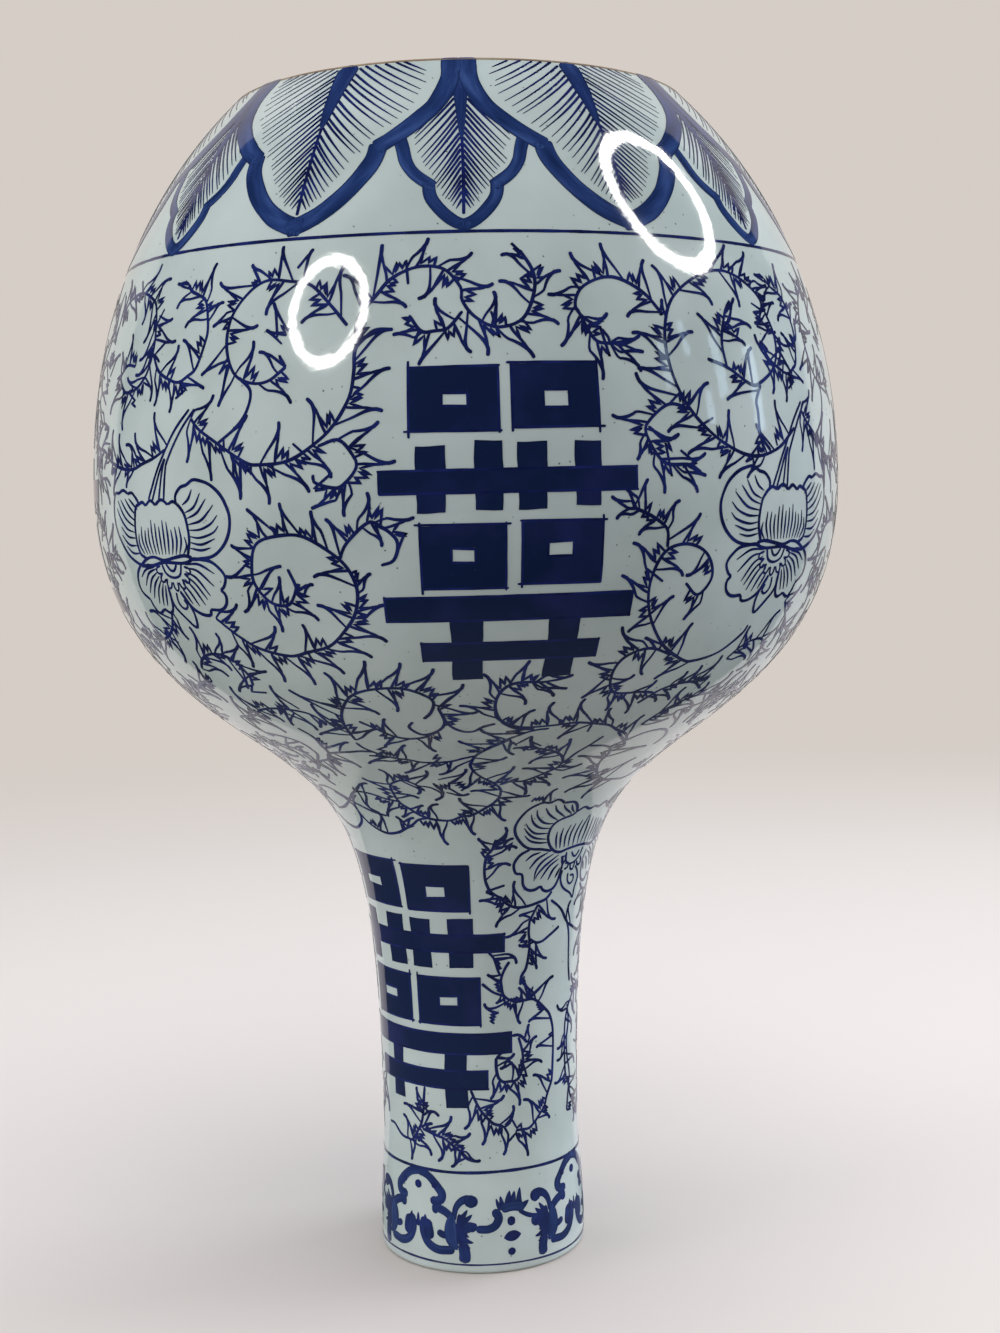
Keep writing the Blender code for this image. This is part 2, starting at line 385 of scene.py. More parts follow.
@dataclass(frozen=True)
class CobaltPainting:
    """Cobalt oxide brushed on the clay, seen through the same glaze.

    A thin line fires to a clear dark blue, a field filled with many strokes to nearly black
    navy, and a wash in a wide band to mid blue with streaks and darker edges.
    """

    name: str = "cobalt_under_glaze"
    line_deep: str = "#0e163e"
    line_pale: str = "#1b265e"
    field_deep: str = "#101d3d"
    field_pale: str = "#1d2450"
    edge: str = "#101f44"
    wash_deep: str = "#14264b"
    wash: str = "#203462"
    wash_pale: str = "#344a7c"
    roughness: float = 0.06
    ior: float = 1.52
    pool_mm: float = 11.0
    field_mm: float = 26.0
    streak_mm: float = 24.0
    streaks_across: float = 1.6

    def make(self, ripple: Ripple) -> bpy.types.Material:
        """Build the material.

        Args:
            ripple: Waves of the glaze.

        Returns:
            The new material.
        """
        material, shader = new_material(self.name, {"Roughness": self.roughness, "IOR": self.ior})
        tree = material.node_tree
        place = add_node(tree, "ShaderNodeTexCoord").outputs["Object"]
        along, across, wash, dense = (
            add_node(tree, "ShaderNodeAttribute", {"attribute_name": name}).outputs["Fac"]
            for name in MARKS)
        pool = add_node(tree, "ShaderNodeTexNoise", links={"Vector": place},
                        values={"Scale": 1000.0 / self.pool_mm, "Detail": 2.0})
        line = ramp(tree, pool.outputs["Fac"], ((0.35, self.line_deep), (0.68, self.line_pale)))
        patch = add_node(tree, "ShaderNodeTexNoise", links={"Vector": place},
                         values={"Scale": 1000.0 / self.field_mm, "Detail": 3.0})
        filled = ramp(tree, patch.outputs["Fac"], ((0.50, self.field_deep),
                                                   (0.72, self.field_pale)))
        body = add_node(tree, "ShaderNodeMix", {"data_type": "RGBA"},
                        links={"Factor": dense, 6: line, 7: filled})
        lane = add_node(tree, "ShaderNodeCombineXYZ", links={"X": along, "Y": across})
        stretch = add_node(tree, "ShaderNodeVectorMath", {"operation": "MULTIPLY"},
                           links={0: lane.outputs[0]},
                           values={1: (1.0 / self.streak_mm, self.streaks_across / 2.0, 1.0)})
        streak = add_node(tree, "ShaderNodeTexNoise", links={"Vector": stretch.outputs[0]},
                          values={"Scale": 1.0, "Detail": 3.0})
        side = add_node(tree, "ShaderNodeMath", {"operation": "ABSOLUTE"}, links={0: across})
        rim = ramp(tree, side.outputs[0], ((0.78, 0.0), (0.97, 0.85)))
        tone = ramp(tree, streak.outputs["Fac"], ((0.34, self.wash_deep), (0.50, self.wash),
                                                  (0.70, self.wash_pale)))
        band = add_node(tree, "ShaderNodeMix", {"data_type": "RGBA"},
                        links={"Factor": rim, 6: tone}, values={7: linear(self.edge)})
        colour = add_node(tree, "ShaderNodeMix", {"data_type": "RGBA"},
                          links={"Factor": wash, 6: body.outputs[2], 7: band.outputs[2]})
        tree.links.new(colour.outputs[2], shader.inputs["Base Color"])
        tree.links.new(ripple.bump(tree, place), shader.inputs["Normal"])
        return material


@dataclass(frozen=True)
class BareFoot:
    """Unglazed porcelain of the foot ring, fired to a matt brownish cream."""

    name: str = "bare_fired_porcelain"
    clay: str = "#9c8363"
    stain: str = "#6e543a"
    roughness: float = 0.7
    grain_mm: float = 1.6
    cloud_mm: float = 16.0

    def make(self) -> bpy.types.Material:
        """Build the material.

        Returns:
            The new material.
        """
        material, shader = new_material(self.name, {"Roughness": self.roughness})
        tree = material.node_tree
        place = add_node(tree, "ShaderNodeTexCoord").outputs["Object"]
        cloud = add_node(tree, "ShaderNodeTexNoise", links={"Vector": place},
                         values={"Scale": 1000.0 / self.cloud_mm, "Detail": 4.0})
        colour = ramp(tree, cloud.outputs["Fac"], ((0.35, self.stain), (0.7, self.clay)))
        grain = add_node(tree, "ShaderNodeTexNoise", links={"Vector": place},
                         values={"Scale": 1000.0 / self.grain_mm, "Detail": 2.0})
        bump = add_node(tree, "ShaderNodeBump", links={"Height": grain.outputs["Fac"]},
                        values={"Strength": 0.5, "Distance": 0.0002})
        tree.links.new(colour, shader.inputs["Base Color"])
        tree.links.new(bump.outputs["Normal"], shader.inputs["Normal"])
        return material


# Brushwork

class Tip(Enum):
    """How a brush stroke begins and ends."""

    EVEN = "even"
    LEAF = "leaf"
    POINTED = "pointed"
    LENS = "lens"

    def share(self, u: Floats) -> Floats:
        """Find the width of a stroke.

        Args:
            u: Places 0 to 1 along the stroke.

        Returns:
            Widths there, as shares of the brush's.
        """
        if self is Tip.LEAF:
            return 0.55 + 0.45 * np.clip(u * 1.25, 0.0, 1.0) ** 1.5
        if self is Tip.POINTED:
            return 1.0 - 0.75 * u ** 1.5
        if self is Tip.LENS:
            return 0.35 + 0.65 * np.sin(np.pi * np.clip(u, 0.0, 1.0))
        return np.ones_like(u)


@dataclass(frozen=True)
class Brush:
    """Width of a stroke in millimetres, its tip, and how washed or dense its blue is.

    Blunt is 1 for rounded ends, and less for squarer ones.
    """

    width: float
    tip: Tip = Tip.EVEN
    wash: float = 0.0
    dense: float = 0.0
    tremor: float = 0.10
    rows: int = 1
    blunt: float = 1.0


@dataclass
class Brushwork:
    """Strokes of one painted piece, laid on the vase's surface.

    Every stroke starts as a flat grid of its own, which is bent onto the surface. Its rim is
    tucked under the glaze, and its normals are the surface's own, so reflections run across it.
    """

    outline: VaseOutline
    name: str
    seed: int
    lift: float = 0.00010
    sunk: float = -0.00006
    spacing: float = 1.3
    sheet_limit: int = 2500
    count: int = 0

    def __post_init__(self) -> None:
        """Start with an empty sheet."""
        self.rng = random.Random(self.seed)
        self.sheets: list[bpy.types.Mesh] = []
        self._open_sheet()

    def _open_sheet(self) -> None:
        """Start a new sheet of strokes."""
        self.sheet = bmesh.new()
        layers = self.sheet.verts.layers
        self.marks = [layers.float.new(name) for name in MARKS]
        self.facing = layers.float_vector.new("facing")

    def _close_sheet(self) -> None:
        """Put the present sheet aside."""
        mesh = bpy.data.meshes.new(f"{self.name}_sheet")
        self.sheet.to_mesh(mesh)
        self.sheet.free()
        self.sheets.append(mesh)

    def lay(self, columns: int, rows: int, shape: Callable[[Floats, Floats], tuple[Floats, Floats]],
            length: float, wash: float, dense: float, layer: float = 0.0) -> None:
        """Lay one grid on the surface.

        Args:
            columns: Faces along the stroke.
            rows: Faces across it.
            shape: Gives angles and distances for places 0 to 1 along and -1 to 1 across.
            length: Length of the stroke in millimetres.
            wash: How much wash shows in it, 0 to 1.
            dense: How densely it is filled, 0 to 1.
            layer: Extra lift in metres, where strokes cross.
        """
        across, down = columns + 2, rows + 2
        verts = bmesh.ops.create_grid(self.sheet, x_segments=across, y_segments=down,
                                      size=1.0)["verts"]
        flat = np.array([vert.co[:2] for vert in verts])
        i = np.rint((flat[:, 0] + 1.0) / 2.0 * across)
        j = np.rint((flat[:, 1] + 1.0) / 2.0 * down)
        rim = (i == 0) | (i == across) | (j == 0) | (j == down)
        u = np.clip(i - 1, 0, columns) / columns
        v = np.clip(j - 1, 0, rows) / rows * 2.0 - 1.0
        angles, distances = shape(u, v)
        spots, normals = self.outline.place(angles, distances,
                                            np.where(rim, self.sunk, self.lift + layer))
        start = self.rng.uniform(0.0, 400.0)
        for k, vert in enumerate(verts):
            vert.co = spots[k]
            vert[self.facing] = normals[k]
            for mark, value in zip(self.marks, (start + u[k] * length, v[k], wash, dense)):
                vert[mark] = value
        self.count += 1
        if len(self.sheet.verts) > self.sheet_limit:
            self._close_sheet()
            self._open_sheet()

    def smooth(self, path: Sequence[Spot], smoothing: bool = True) -> Floats:
        """Run a smooth curve through chart spots and space points evenly along it.

        Args:
            path: Spots that the curve goes through.
            smoothing: False keeps the corners.

        Returns:
            Rows of angle and distance, a brush step apart.
        """
        knots = np.array(path, float)
        if not smoothing:
            runs = [np.linspace(a, b, 4)[:-1] for a, b in zip(knots, knots[1:])]
            return np.vstack(runs + [knots[-1:]])
        if len(knots) > 2:
            before = 2 * knots[0] - knots[1]
            after = 2 * knots[-1] - knots[-2]
            padded = np.vstack([before, knots, after])
            u = np.linspace(0.0, 1.0, 10, endpoint=False)[:, None]
            pieces = []
            for a, b, c, d in zip(padded, padded[1:], padded[2:], padded[3:]):
                pieces.append(0.5 * (2 * b + (c - a) * u + (2 * a - 5 * b + 4 * c - d) * u * u
                                     + (3 * b - a - 3 * c + d) * u ** 3))
            knots = np.vstack(pieces + [knots[-1:]])
        middle = (knots[1:, 1] + knots[:-1, 1]) / 2.0
        degree = np.radians(self.outline.radius_mm(middle))
        steps = np.hypot(np.diff(knots[:, 0]) * degree, np.diff(knots[:, 1]))
        travelled = np.concatenate([[0.0], np.cumsum(steps)])
        count = max(3, int(round(travelled[-1] / self.spacing)) + 1)
        at = np.linspace(0.0, travelled[-1], count)
        return np.stack([np.interp(at, travelled, knots[:, k]) for k in (0, 1)], axis=1)

    def stroke(self, path: Sequence[Spot], brush: Brush, smoothing: bool = True,
               layer: float = 0.0) -> None:
        """Paint one brush stroke along chart spots.

        Args:
            path: Spots that the stroke goes through.
            brush: Width, tip and wash.
            smoothing: False keeps the corners.
            layer: Extra lift in metres, where strokes cross.
        """
        line = self.smooth(path, smoothing)
        degree = np.radians(self.outline.radius_mm(line[:, 1]))
        way = np.gradient(line, axis=0)
        way[:, 0] *= degree
        way /= np.maximum(np.linalg.norm(way, axis=1), 1e-9)[:, None]
        steps = np.hypot(np.diff(line[:, 0]) * (degree[1:] + degree[:-1]) / 2.0,
                         np.diff(line[:, 1]))
        travelled = np.concatenate([[0.0], np.cumsum(steps)])
        length = travelled[-1]
        half = brush.width / 2.0
        end = min(half * brush.blunt, length * 0.5)
        at = np.unique(np.concatenate([[0.0, end * 0.25, end * 0.6], travelled[1:-1],
                                       [length - end * 0.6, length - end * 0.25, length]]))
        at = at[(at >= 0.0) & (at <= length)]
        u = at / max(length, 1e-6)
        from_end = np.minimum(at, length - at)
        rounding = np.sqrt(np.clip(1.0 - (1.0 - np.minimum(from_end / end, 1.0)) ** 2, 0.02, 1.0))
        knots = np.arange(0.0, length + 12.0, 6.0)
        unsteady = 1.0 + np.interp(at, knots, [self.rng.uniform(-1.0, 1.0) for _ in knots]) \
            * brush.tremor
        width = half * brush.tip.share(u) * rounding * unsteady
        rows = {key: np.interp(at, travelled, values) for key, values in
                {"angle": line[:, 0], "distance": line[:, 1], "degree": degree,
                 "x": way[:, 0], "y": way[:, 1]}.items()}
        columns = len(at) - 1

        def shape(along: Floats, across: Floats) -> tuple[Floats, Floats]:
            """Put the grid on the chart.

            Args:
                along: Places 0 to 1 along it.
                across: Places -1 to 1 across it.

            Returns:
                Angles and distances.
            """
            k = np.rint(along * columns).astype(int)
            out = across * width[k]
            return (rows["angle"][k] - rows["y"][k] * out / rows["degree"][k],
                    rows["distance"][k] + rows["x"][k] * out)

        self.lay(columns, brush.rows, shape, length, brush.wash, brush.dense, layer)

    def dot(self, spot: Spot, brush: Brush, tall: float = 1.0) -> None:
        """Paint a dot as wide as the brush.

        Args:
            spot: Its middle.
            brush: Width, tip and wash.
            tall: Its height, as a share of the brush's width.
        """
        reach = brush.width / 2.0 * tall
        self.stroke([self.outline.step(spot, 0.0, -reach), self.outline.step(spot, 0.0, reach)],
                    brush, layer=0.00001)

    def patch(self, left: float, right: float, low: float, high: float,
              cell: float = 3.0) -> None:
        """Fill a rectangle of the chart, with the slightly wavy edges of a hand-filled one.

        Args:
            left: Left edge, in degrees.
            right: Right edge, in degrees.
            low: Edge nearer the mouth, in millimetres.
            high: Edge nearer the foot, in millimetres.
            cell: Size of its faces in millimetres.
        """
        degree = math.radians(float(self.outline.radius_mm((low + high) / 2.0)))
        columns = max(1, round((right - left) * degree / cell))
        rows = max(1, round((high - low) / cell))
        wander = 0.20

        def shape(along: Floats, across: Floats) -> tuple[Floats, Floats]:
            """Put the grid on the chart.

            Args:
                along: Places 0 to 1 along it.
                across: Places -1 to 1 across it.

            Returns:
                Angles and distances.
            """
            angle = left + (right - left) * along
            distance = low + (high - low) * (across + 1.0) / 2.0
            shift_x = np.sin(distance * 0.19 + angle * 0.9) + 0.5 * np.sin(distance * 0.61)
            shift_y = np.sin(angle * degree * 0.17 + 1.3) + 0.5 * np.sin(angle * degree * 0.53)
            return angle + shift_x * wander / degree, distance + shift_y * wander

        self.lay(columns, rows, shape, (right - left) * degree, 0.0, 1.0)

    def finish(self, material: bpy.types.Material) -> None:
        """Gather the strokes in one piece.

        Args:
            material: Finish of the painting.
        """
        self._close_sheet()
        whole = bmesh.new()
        for sheet in self.sheets:
            whole.from_mesh(sheet)
            bpy.data.meshes.remove(sheet)
        piece = new_object(self.name, whole, material)
        mesh = piece.data
        normals = np.zeros(len(mesh.vertices) * 3, np.float32)
        mesh.attributes["facing"].data.foreach_get("vector", normals)
        mesh.normals_split_custom_set_from_vertices(normals.reshape(-1, 3))
        mesh.attributes.remove(mesh.attributes["facing"])
        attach(piece, BODY)
        log.info("%s: %d strokes, %d faces", self.name, self.count, len(mesh.polygons))


# The body

@dataclass
class PorcelainBody:
    """The thrown and fired body: one glazed shell, its base and the bare edge of its foot."""

    outline: VaseOutline
    turn_steps: int = 256
    outer_step: float = 3.6
    inner_step: float = 9.0
    lip_round: float = 0.0020
    ring_width: float = 0.0085
    ring_chamfer: float = 0.0007
    recess: float = 0.0090
    base_thickness: float = 0.0080
    base_dish: float = 0.0025
    edge_wrap: float = 0.4
    edge_lift: float = 0.00015
    base_fillet: float = 0.0018
    inner_corner: float = 0.010
    sharp_angle: float = 40.0

    def _arc(self, centre: Vector, radius: float, start: float, end: float,
             count: int) -> list[Vector]:
        """Points of a round from one angle to another, in degrees from the outward direction."""
        angles = [math.radians(start + (end - start) * i / (count - 1)) for i in range(count)]
        return [centre + Vector((math.cos(a), 0.0, math.sin(a))) * radius for a in angles]

    def shell_profile(self) -> list[Vector]:
        """Profile of the glazed shell, from the middle of the base's outside round to its inside.

        Returns:
            Points (r, 0, z), the first and the last on the axis.
        """
        o = self.outline
        ring_in = o.foot_radius - self.ring_width
        base_out = o.height - self.recess
        base_in = base_out - self.base_thickness
        points = [Vector((0.0, 0.0, base_out - self.base_dish))]
        for share in (0.1, 0.25, 0.4, 0.55, 0.7, 0.82, 0.92, 0.97):
            sink = self.base_dish * (1.0 - share * share)
            points.append(Vector((ring_in * share, 0.0, base_out - sink)))
        fillet = self.base_fillet
        points += self._arc(Vector((ring_in - fillet, 0.0, base_out + fillet)), fillet,
                            -80.0, 0.0, 5)
        top = o.height
        chamfer = self.ring_chamfer
        points.append(Vector((ring_in, 0.0, top - chamfer)))
        points.append(Vector((ring_in + chamfer, 0.0, top)))
        points.append(Vector((o.foot_radius - chamfer, 0.0, top)))
        low = o.distance_at(self.lip_round)
        high = o.distance_at(top - chamfer)
        count = int((high - low) / self.outer_step)
        outer = [high + (low - high) * i / count for i in range(count + 1)]
        points += [o.profile(s) for s in outer]
        edge, back = points.pop(), o.profile(low, 1.0)
        radius = self.lip_round
        points += self._arc(Vector((edge.x - radius, 0.0, radius)), radius, 0.0, -90.0, 7)
        points += self._arc(Vector((back.x + radius, 0.0, radius)), radius, -90.0, -180.0, 7)
        inside = low
        while o.profile(inside + self.inner_step, 1.0).z < base_in - 0.012:
            inside += self.inner_step
            points.append(o.profile(inside, 1.0))
        corner = self.inner_corner
        wall = points[-1].x
        points += self._arc(Vector((wall - corner, 0.0, base_in - corner)), corner, 20.0, 85.0, 6)
        for share in (0.75, 0.5, 0.25, 0.1, 0.0):
            points.append(Vector((wall * share * 0.9, 0.0, base_in)))
        return points

    def edge_profile(self) -> list[Vector]:
        """Closed profile of the bare edge: a thin skin over the foot ring's top and its corners.

        Returns:
            Points (r, 0, z).
        """
        o, lift, chamfer = self.outline, self.edge_lift, self.ring_chamfer
        ring_in = o.foot_radius - self.ring_width
        top = o.height
        low = o.distance_at(top - chamfer) - self.edge_wrap
        outside = [o.profile(low), o.profile(low + self.edge_wrap * 0.5),
                   o.profile(low + self.edge_wrap)]
        skin = [outside[0]]
        skin += [spot + Vector((lift, 0.0, lift)) for spot in outside[1:]]
        skin += [Vector((o.foot_radius - chamfer, 0.0, top + lift)),
                 Vector((ring_in + chamfer, 0.0, top + lift)),
                 Vector((ring_in - lift, 0.0, top - chamfer)),
                 Vector((ring_in, 0.0, top - chamfer * 2.0))]
        under = Vector((o.foot_radius - self.ring_width / 2.0, 0.0, top - chamfer * 2.0))
        return skin + [under]

    def turn(self, name: str, profile: list[Vector], closed: bool,
             material: bpy.types.Material, slot: str) -> bpy.types.Object:
        """Spin a profile round the vase's axis.

        Args:
            name: Name of the piece.
            profile: Points (r, 0, z).
            closed: True for a ring, False for a shape whose ends lie on the axis.
            material: Finish of the piece.
            slot: Not used.

        Returns:
            The turned piece.
        """
        bm = bmesh.new()
        verts = [bm.verts.new(point) for point in profile]
        edges = [bm.edges.new(pair) for pair in zip(verts, verts[1:])]
        if closed:
            edges.append(bm.edges.new((verts[-1], verts[0])))
        bmesh.ops.spin(bm, geom=verts + edges, cent=(0.0, 0.0, 0.0), axis=(0.0, 0.0, 1.0),
                       angle=math.tau, steps=self.turn_steps, use_merge=True)
        bmesh.ops.remove_doubles(bm, verts=bm.verts, dist=0.000002)
        bmesh.ops.recalc_face_normals(bm, faces=bm.faces)
        piece = new_object(name, bm, material)
        piece.data.set_sharp_from_angle(angle=math.radians(self.sharp_angle))
        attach(piece, BODY)
        log.info("%s: %d faces", name, len(piece.data.polygons))
        return piece

    def build(self, glaze: bpy.types.Material, bare: bpy.types.Material) -> None:
        """Build the shell and the bare edge, and dress the luting coils.

        Args:
            glaze: Finish of the shell.
            bare: Finish of the edge.
        """
        shell = self.turn("glazed_shell", self.shell_profile(), False, glaze, "glazed_porcelain")
        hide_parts("mouth_rim", "neck", "shoulder", "belly", "foot_section", "base_disc")
        self.turn("bare_foot_edge", self.edge_profile(), True, bare, "bare_porcelain")
        for name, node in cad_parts.items():
            if name.endswith("luting_coil"):
                node.data.materials.clear()
                node.data.materials.append(glaze)


# Painting: lines, leaves round the foot, border round the mouth

@dataclass
class Lines:
    """The three lines that run round the vase."""

    outline: VaseOutline
    mouth: float = 4.2
    border: float = 44.4
    leaves: float = 471.8

    def ring(self, work: Brushwork, distance: float, sway: float, brush: Brush) -> None:
        """Paint one line all the way round, in four overlapping pulls of the brush.

        Args:
            work: Piece that takes the line.
            distance: Its distance from the mouth.
            sway: How far it wanders, in millimetres.
            brush: The brush.
        """
        phase = work.rng.uniform(0.0, math.tau)
        for pull in range(4):
            start = pull * 90.0 - 135.0
            path = []
            for i in range(47):
                angle = start + i * 2.0
                swing = math.radians(angle)
                wander = math.sin(swing * 2.0 + phase) * 0.7 + math.sin(swing * 5.0) * 0.3
                path.append((angle, distance + sway * wander))
            work.stroke(path, brush)

    def paint(self, cobalt: bpy.types.Material) -> None:
        """Paint the lines.

        Args:
            cobalt: Finish of the painting.
        """
        work = Brushwork(self.outline, "painted_lines", 11)
        self.ring(work, self.mouth, 0.5, Brush(0.9, tremor=0.25))
        self.ring(work, self.border, 0.5, Brush(1.35, tremor=0.15))
        self.ring(work, self.leaves, 0.6, Brush(1.25, tremor=0.15))
        work.finish(cobalt)


@dataclass(frozen=True)
class LeafKind:
    """One size of the leaves round the foot.

    The half and the lobe are the middle of the border's two pulls on one side, as angles from
    the midrib and distances. The rib is a wedge from its top to its fork and a line to its foot.
    Veins start at the midrib, a gap apart, and stop at a margin inside the border. Their slopes
    below the level, in degrees, are for the first and the last.
    """

    half: tuple[Spot, ...]
    lobe: tuple[Spot, ...]
    border_width: float
    lift: float
    rib_top: float
    rib_fork: float
    rib_foot: float
    rib_width: float
    rib_clear: float
    first_vein: float
    last_vein: float
    gap: float
    margin: float
    slopes: tuple[float, float]


LARGE_LEAF = LeafKind(
    half=((23.9, 558.9), (23.9, 548), (23, 539), (21, 529.5), (17.8, 521.2), (14.8, 514.8),
          (11.4, 509)),
    lobe=((11.9, 511.2), (11.4, 504), (9.9, 497), (7.4, 489), (4.2, 481.9), (1, 477.6),
          (-1.4, 476.2)),
    border_width=7.4, lift=0.00003,
    rib_top=558.4, rib_fork=521.0, rib_foot=481.5, rib_width=9.0, rib_clear=4.5,
    first_vein=588.0, last_vein=488.0, gap=3.3, margin=8.2, slopes=(40.0, 60.0))

SMALL_LEAF = LeafKind(
    half=((10.8, 515), (9.8, 508), (9, 501.5), (7.4, 495.8), (4.5, 490.2)),
    lobe=((5.3, 492.4), (4.9, 486), (3.2, 479.8), (1.2, 475.4), (-0.9, 473.6)),
    border_width=4.9, lift=0.0,
    rib_top=547.0, rib_fork=512.0, rib_foot=478.5, rib_width=6.0, rib_clear=4.0,
    first_vein=536.0, last_vein=483.0, gap=3.0, margin=4.6, slopes=(60.0, 62.0))


@dataclass
class LeafCollar:
    """Seven large and seven small leaves round the foot, with washed borders and ribs."""

    outline: VaseOutline
    count: int = 7
    first_large: float = -25.5
    first_small: float = 0.4
    rim: float = 557.6
    vein_step: float = 1.2
    vein_curl: float = 0.35

    def border(self, work: Brushwork, middle: float, kind: LeafKind) -> None:
        """Paint a leaf's washed border, as two pulls down each side that meet in a notch.

        Args:
            work: Piece that takes it.
            middle: Angle of the leaf's midrib.
            kind: The leaf's size.
        """
        brush = Brush(kind.border_width, wash=0.95, tremor=0.05, rows=6, blunt=0.25)
        for side in (-1, 1):
            for half in (kind.half, kind.lobe):
                work.stroke([(middle + side * angle, distance) for angle, distance in half],
                            brush, layer=kind.lift)

    def rib(self, work: Brushwork, middle: float, kind: LeafKind) -> None:
        """Paint a midrib: a washed wedge that runs out into a line.

        Args:
            work: Piece that takes it.
            middle: Angle of the midrib.
            kind: The leaf's size.
        """
        top, fork, foot = kind.rib_top, kind.rib_fork, kind.rib_foot
        work.stroke([(middle, top), (middle, (top + fork) / 2.0), (middle, fork)],
                    Brush(kind.rib_width, Tip.POINTED, wash=0.7, tremor=0.04, rows=4),
                    layer=0.00002)
        work.stroke([(middle, fork + 12.0), (middle + 0.1, (fork + foot) / 2.0), (middle, foot)],
                    Brush(1.3, tremor=0.1))

    def vein(self, work: Brushwork, middle: float, kind: LeafKind, start: float, slope: float,
             side: int) -> list[Spot]:
        """Find the way of one vein, from the midrib to a margin inside the border.

        Args:
            work: Piece that takes it, for its unsteady hand.
            middle: Angle of the midrib.
            kind: The leaf's size.
            start: Distance at which it leaves the midrib.
            slope: Slant below the level where it starts, in degrees.
            side: 1 for a vein on the right, -1 for one on the left.

        Returns:
            Spots on the chart, without those beyond the rim.
        """
        edge = (kind.half[:-1] + kind.lobe[1:])[::-1]
        distances, reach = [spot[1] for spot in edge], [spot[0] for spot in edge]
        clear = max((start - kind.rib_fork) / (self.rim - kind.rib_fork), 0.0) * kind.rib_clear
        spot = self.outline.step((middle, start), side * (clear + 0.4), 0.0)
        path = []
        for k in range(48):
            if spot[1] < self.rim:
                path.append(spot)
            lean = math.radians(slope - self.vein_curl * k)
            spot = self.outline.step(spot, side * math.cos(lean) * self.vein_step,
                                     -math.sin(lean) * self.vein_step)
            room = np.interp(spot[1], distances, reach) - side * (spot[0] - middle)
            room *= math.radians(float(self.outline.radius_mm(spot[1])))
            if room < kind.margin + work.rng.uniform(-0.8, 0.8) or spot[1] < distances[0] + 4.5:
                break
        return path

    def veins(self, work: Brushwork, middle: float, kind: LeafKind) -> None:
        """Paint the slanting veins on both sides of a midrib.

        Args:
            work: Piece that takes them.
            middle: Angle of the midrib.
            kind: The leaf's size.
        """
        at = kind.first_vein
        while at > kind.last_vein:
            share = (kind.first_vein - at) / (kind.first_vein - kind.last_vein)
            steepness = kind.slopes[0] + (kind.slopes[1] - kind.slopes[0]) * share
            for side in (-1, 1):
                slope = steepness + work.rng.uniform(-1.5, 1.5)
                start = at + work.rng.uniform(-0.5, 0.5)
                path = self.vein(work, middle, kind, start, slope, side)
                if len(path) > 3:
                    work.stroke(path, Brush(1.1, Tip.POINTED, tremor=0.12))
            at -= kind.gap * (1.0 - 0.12 * share)

    def paint(self, cobalt: bpy.types.Material) -> None:
        """Paint every leaf: the small ones lie behind the large ones.

        Args:
            cobalt: Finish of the painting.
        """
        work = Brushwork(self.outline, "leaf_collar", 23)
        for first, kind in ((self.first_small, SMALL_LEAF), (self.first_large, LARGE_LEAF)):
            for k in range(self.count):
                middle = first + 360.0 / self.count * k
                self.border(work, middle, kind)
                self.rib(work, middle, kind)
                self.veins(work, middle, kind)
        work.finish(cobalt)


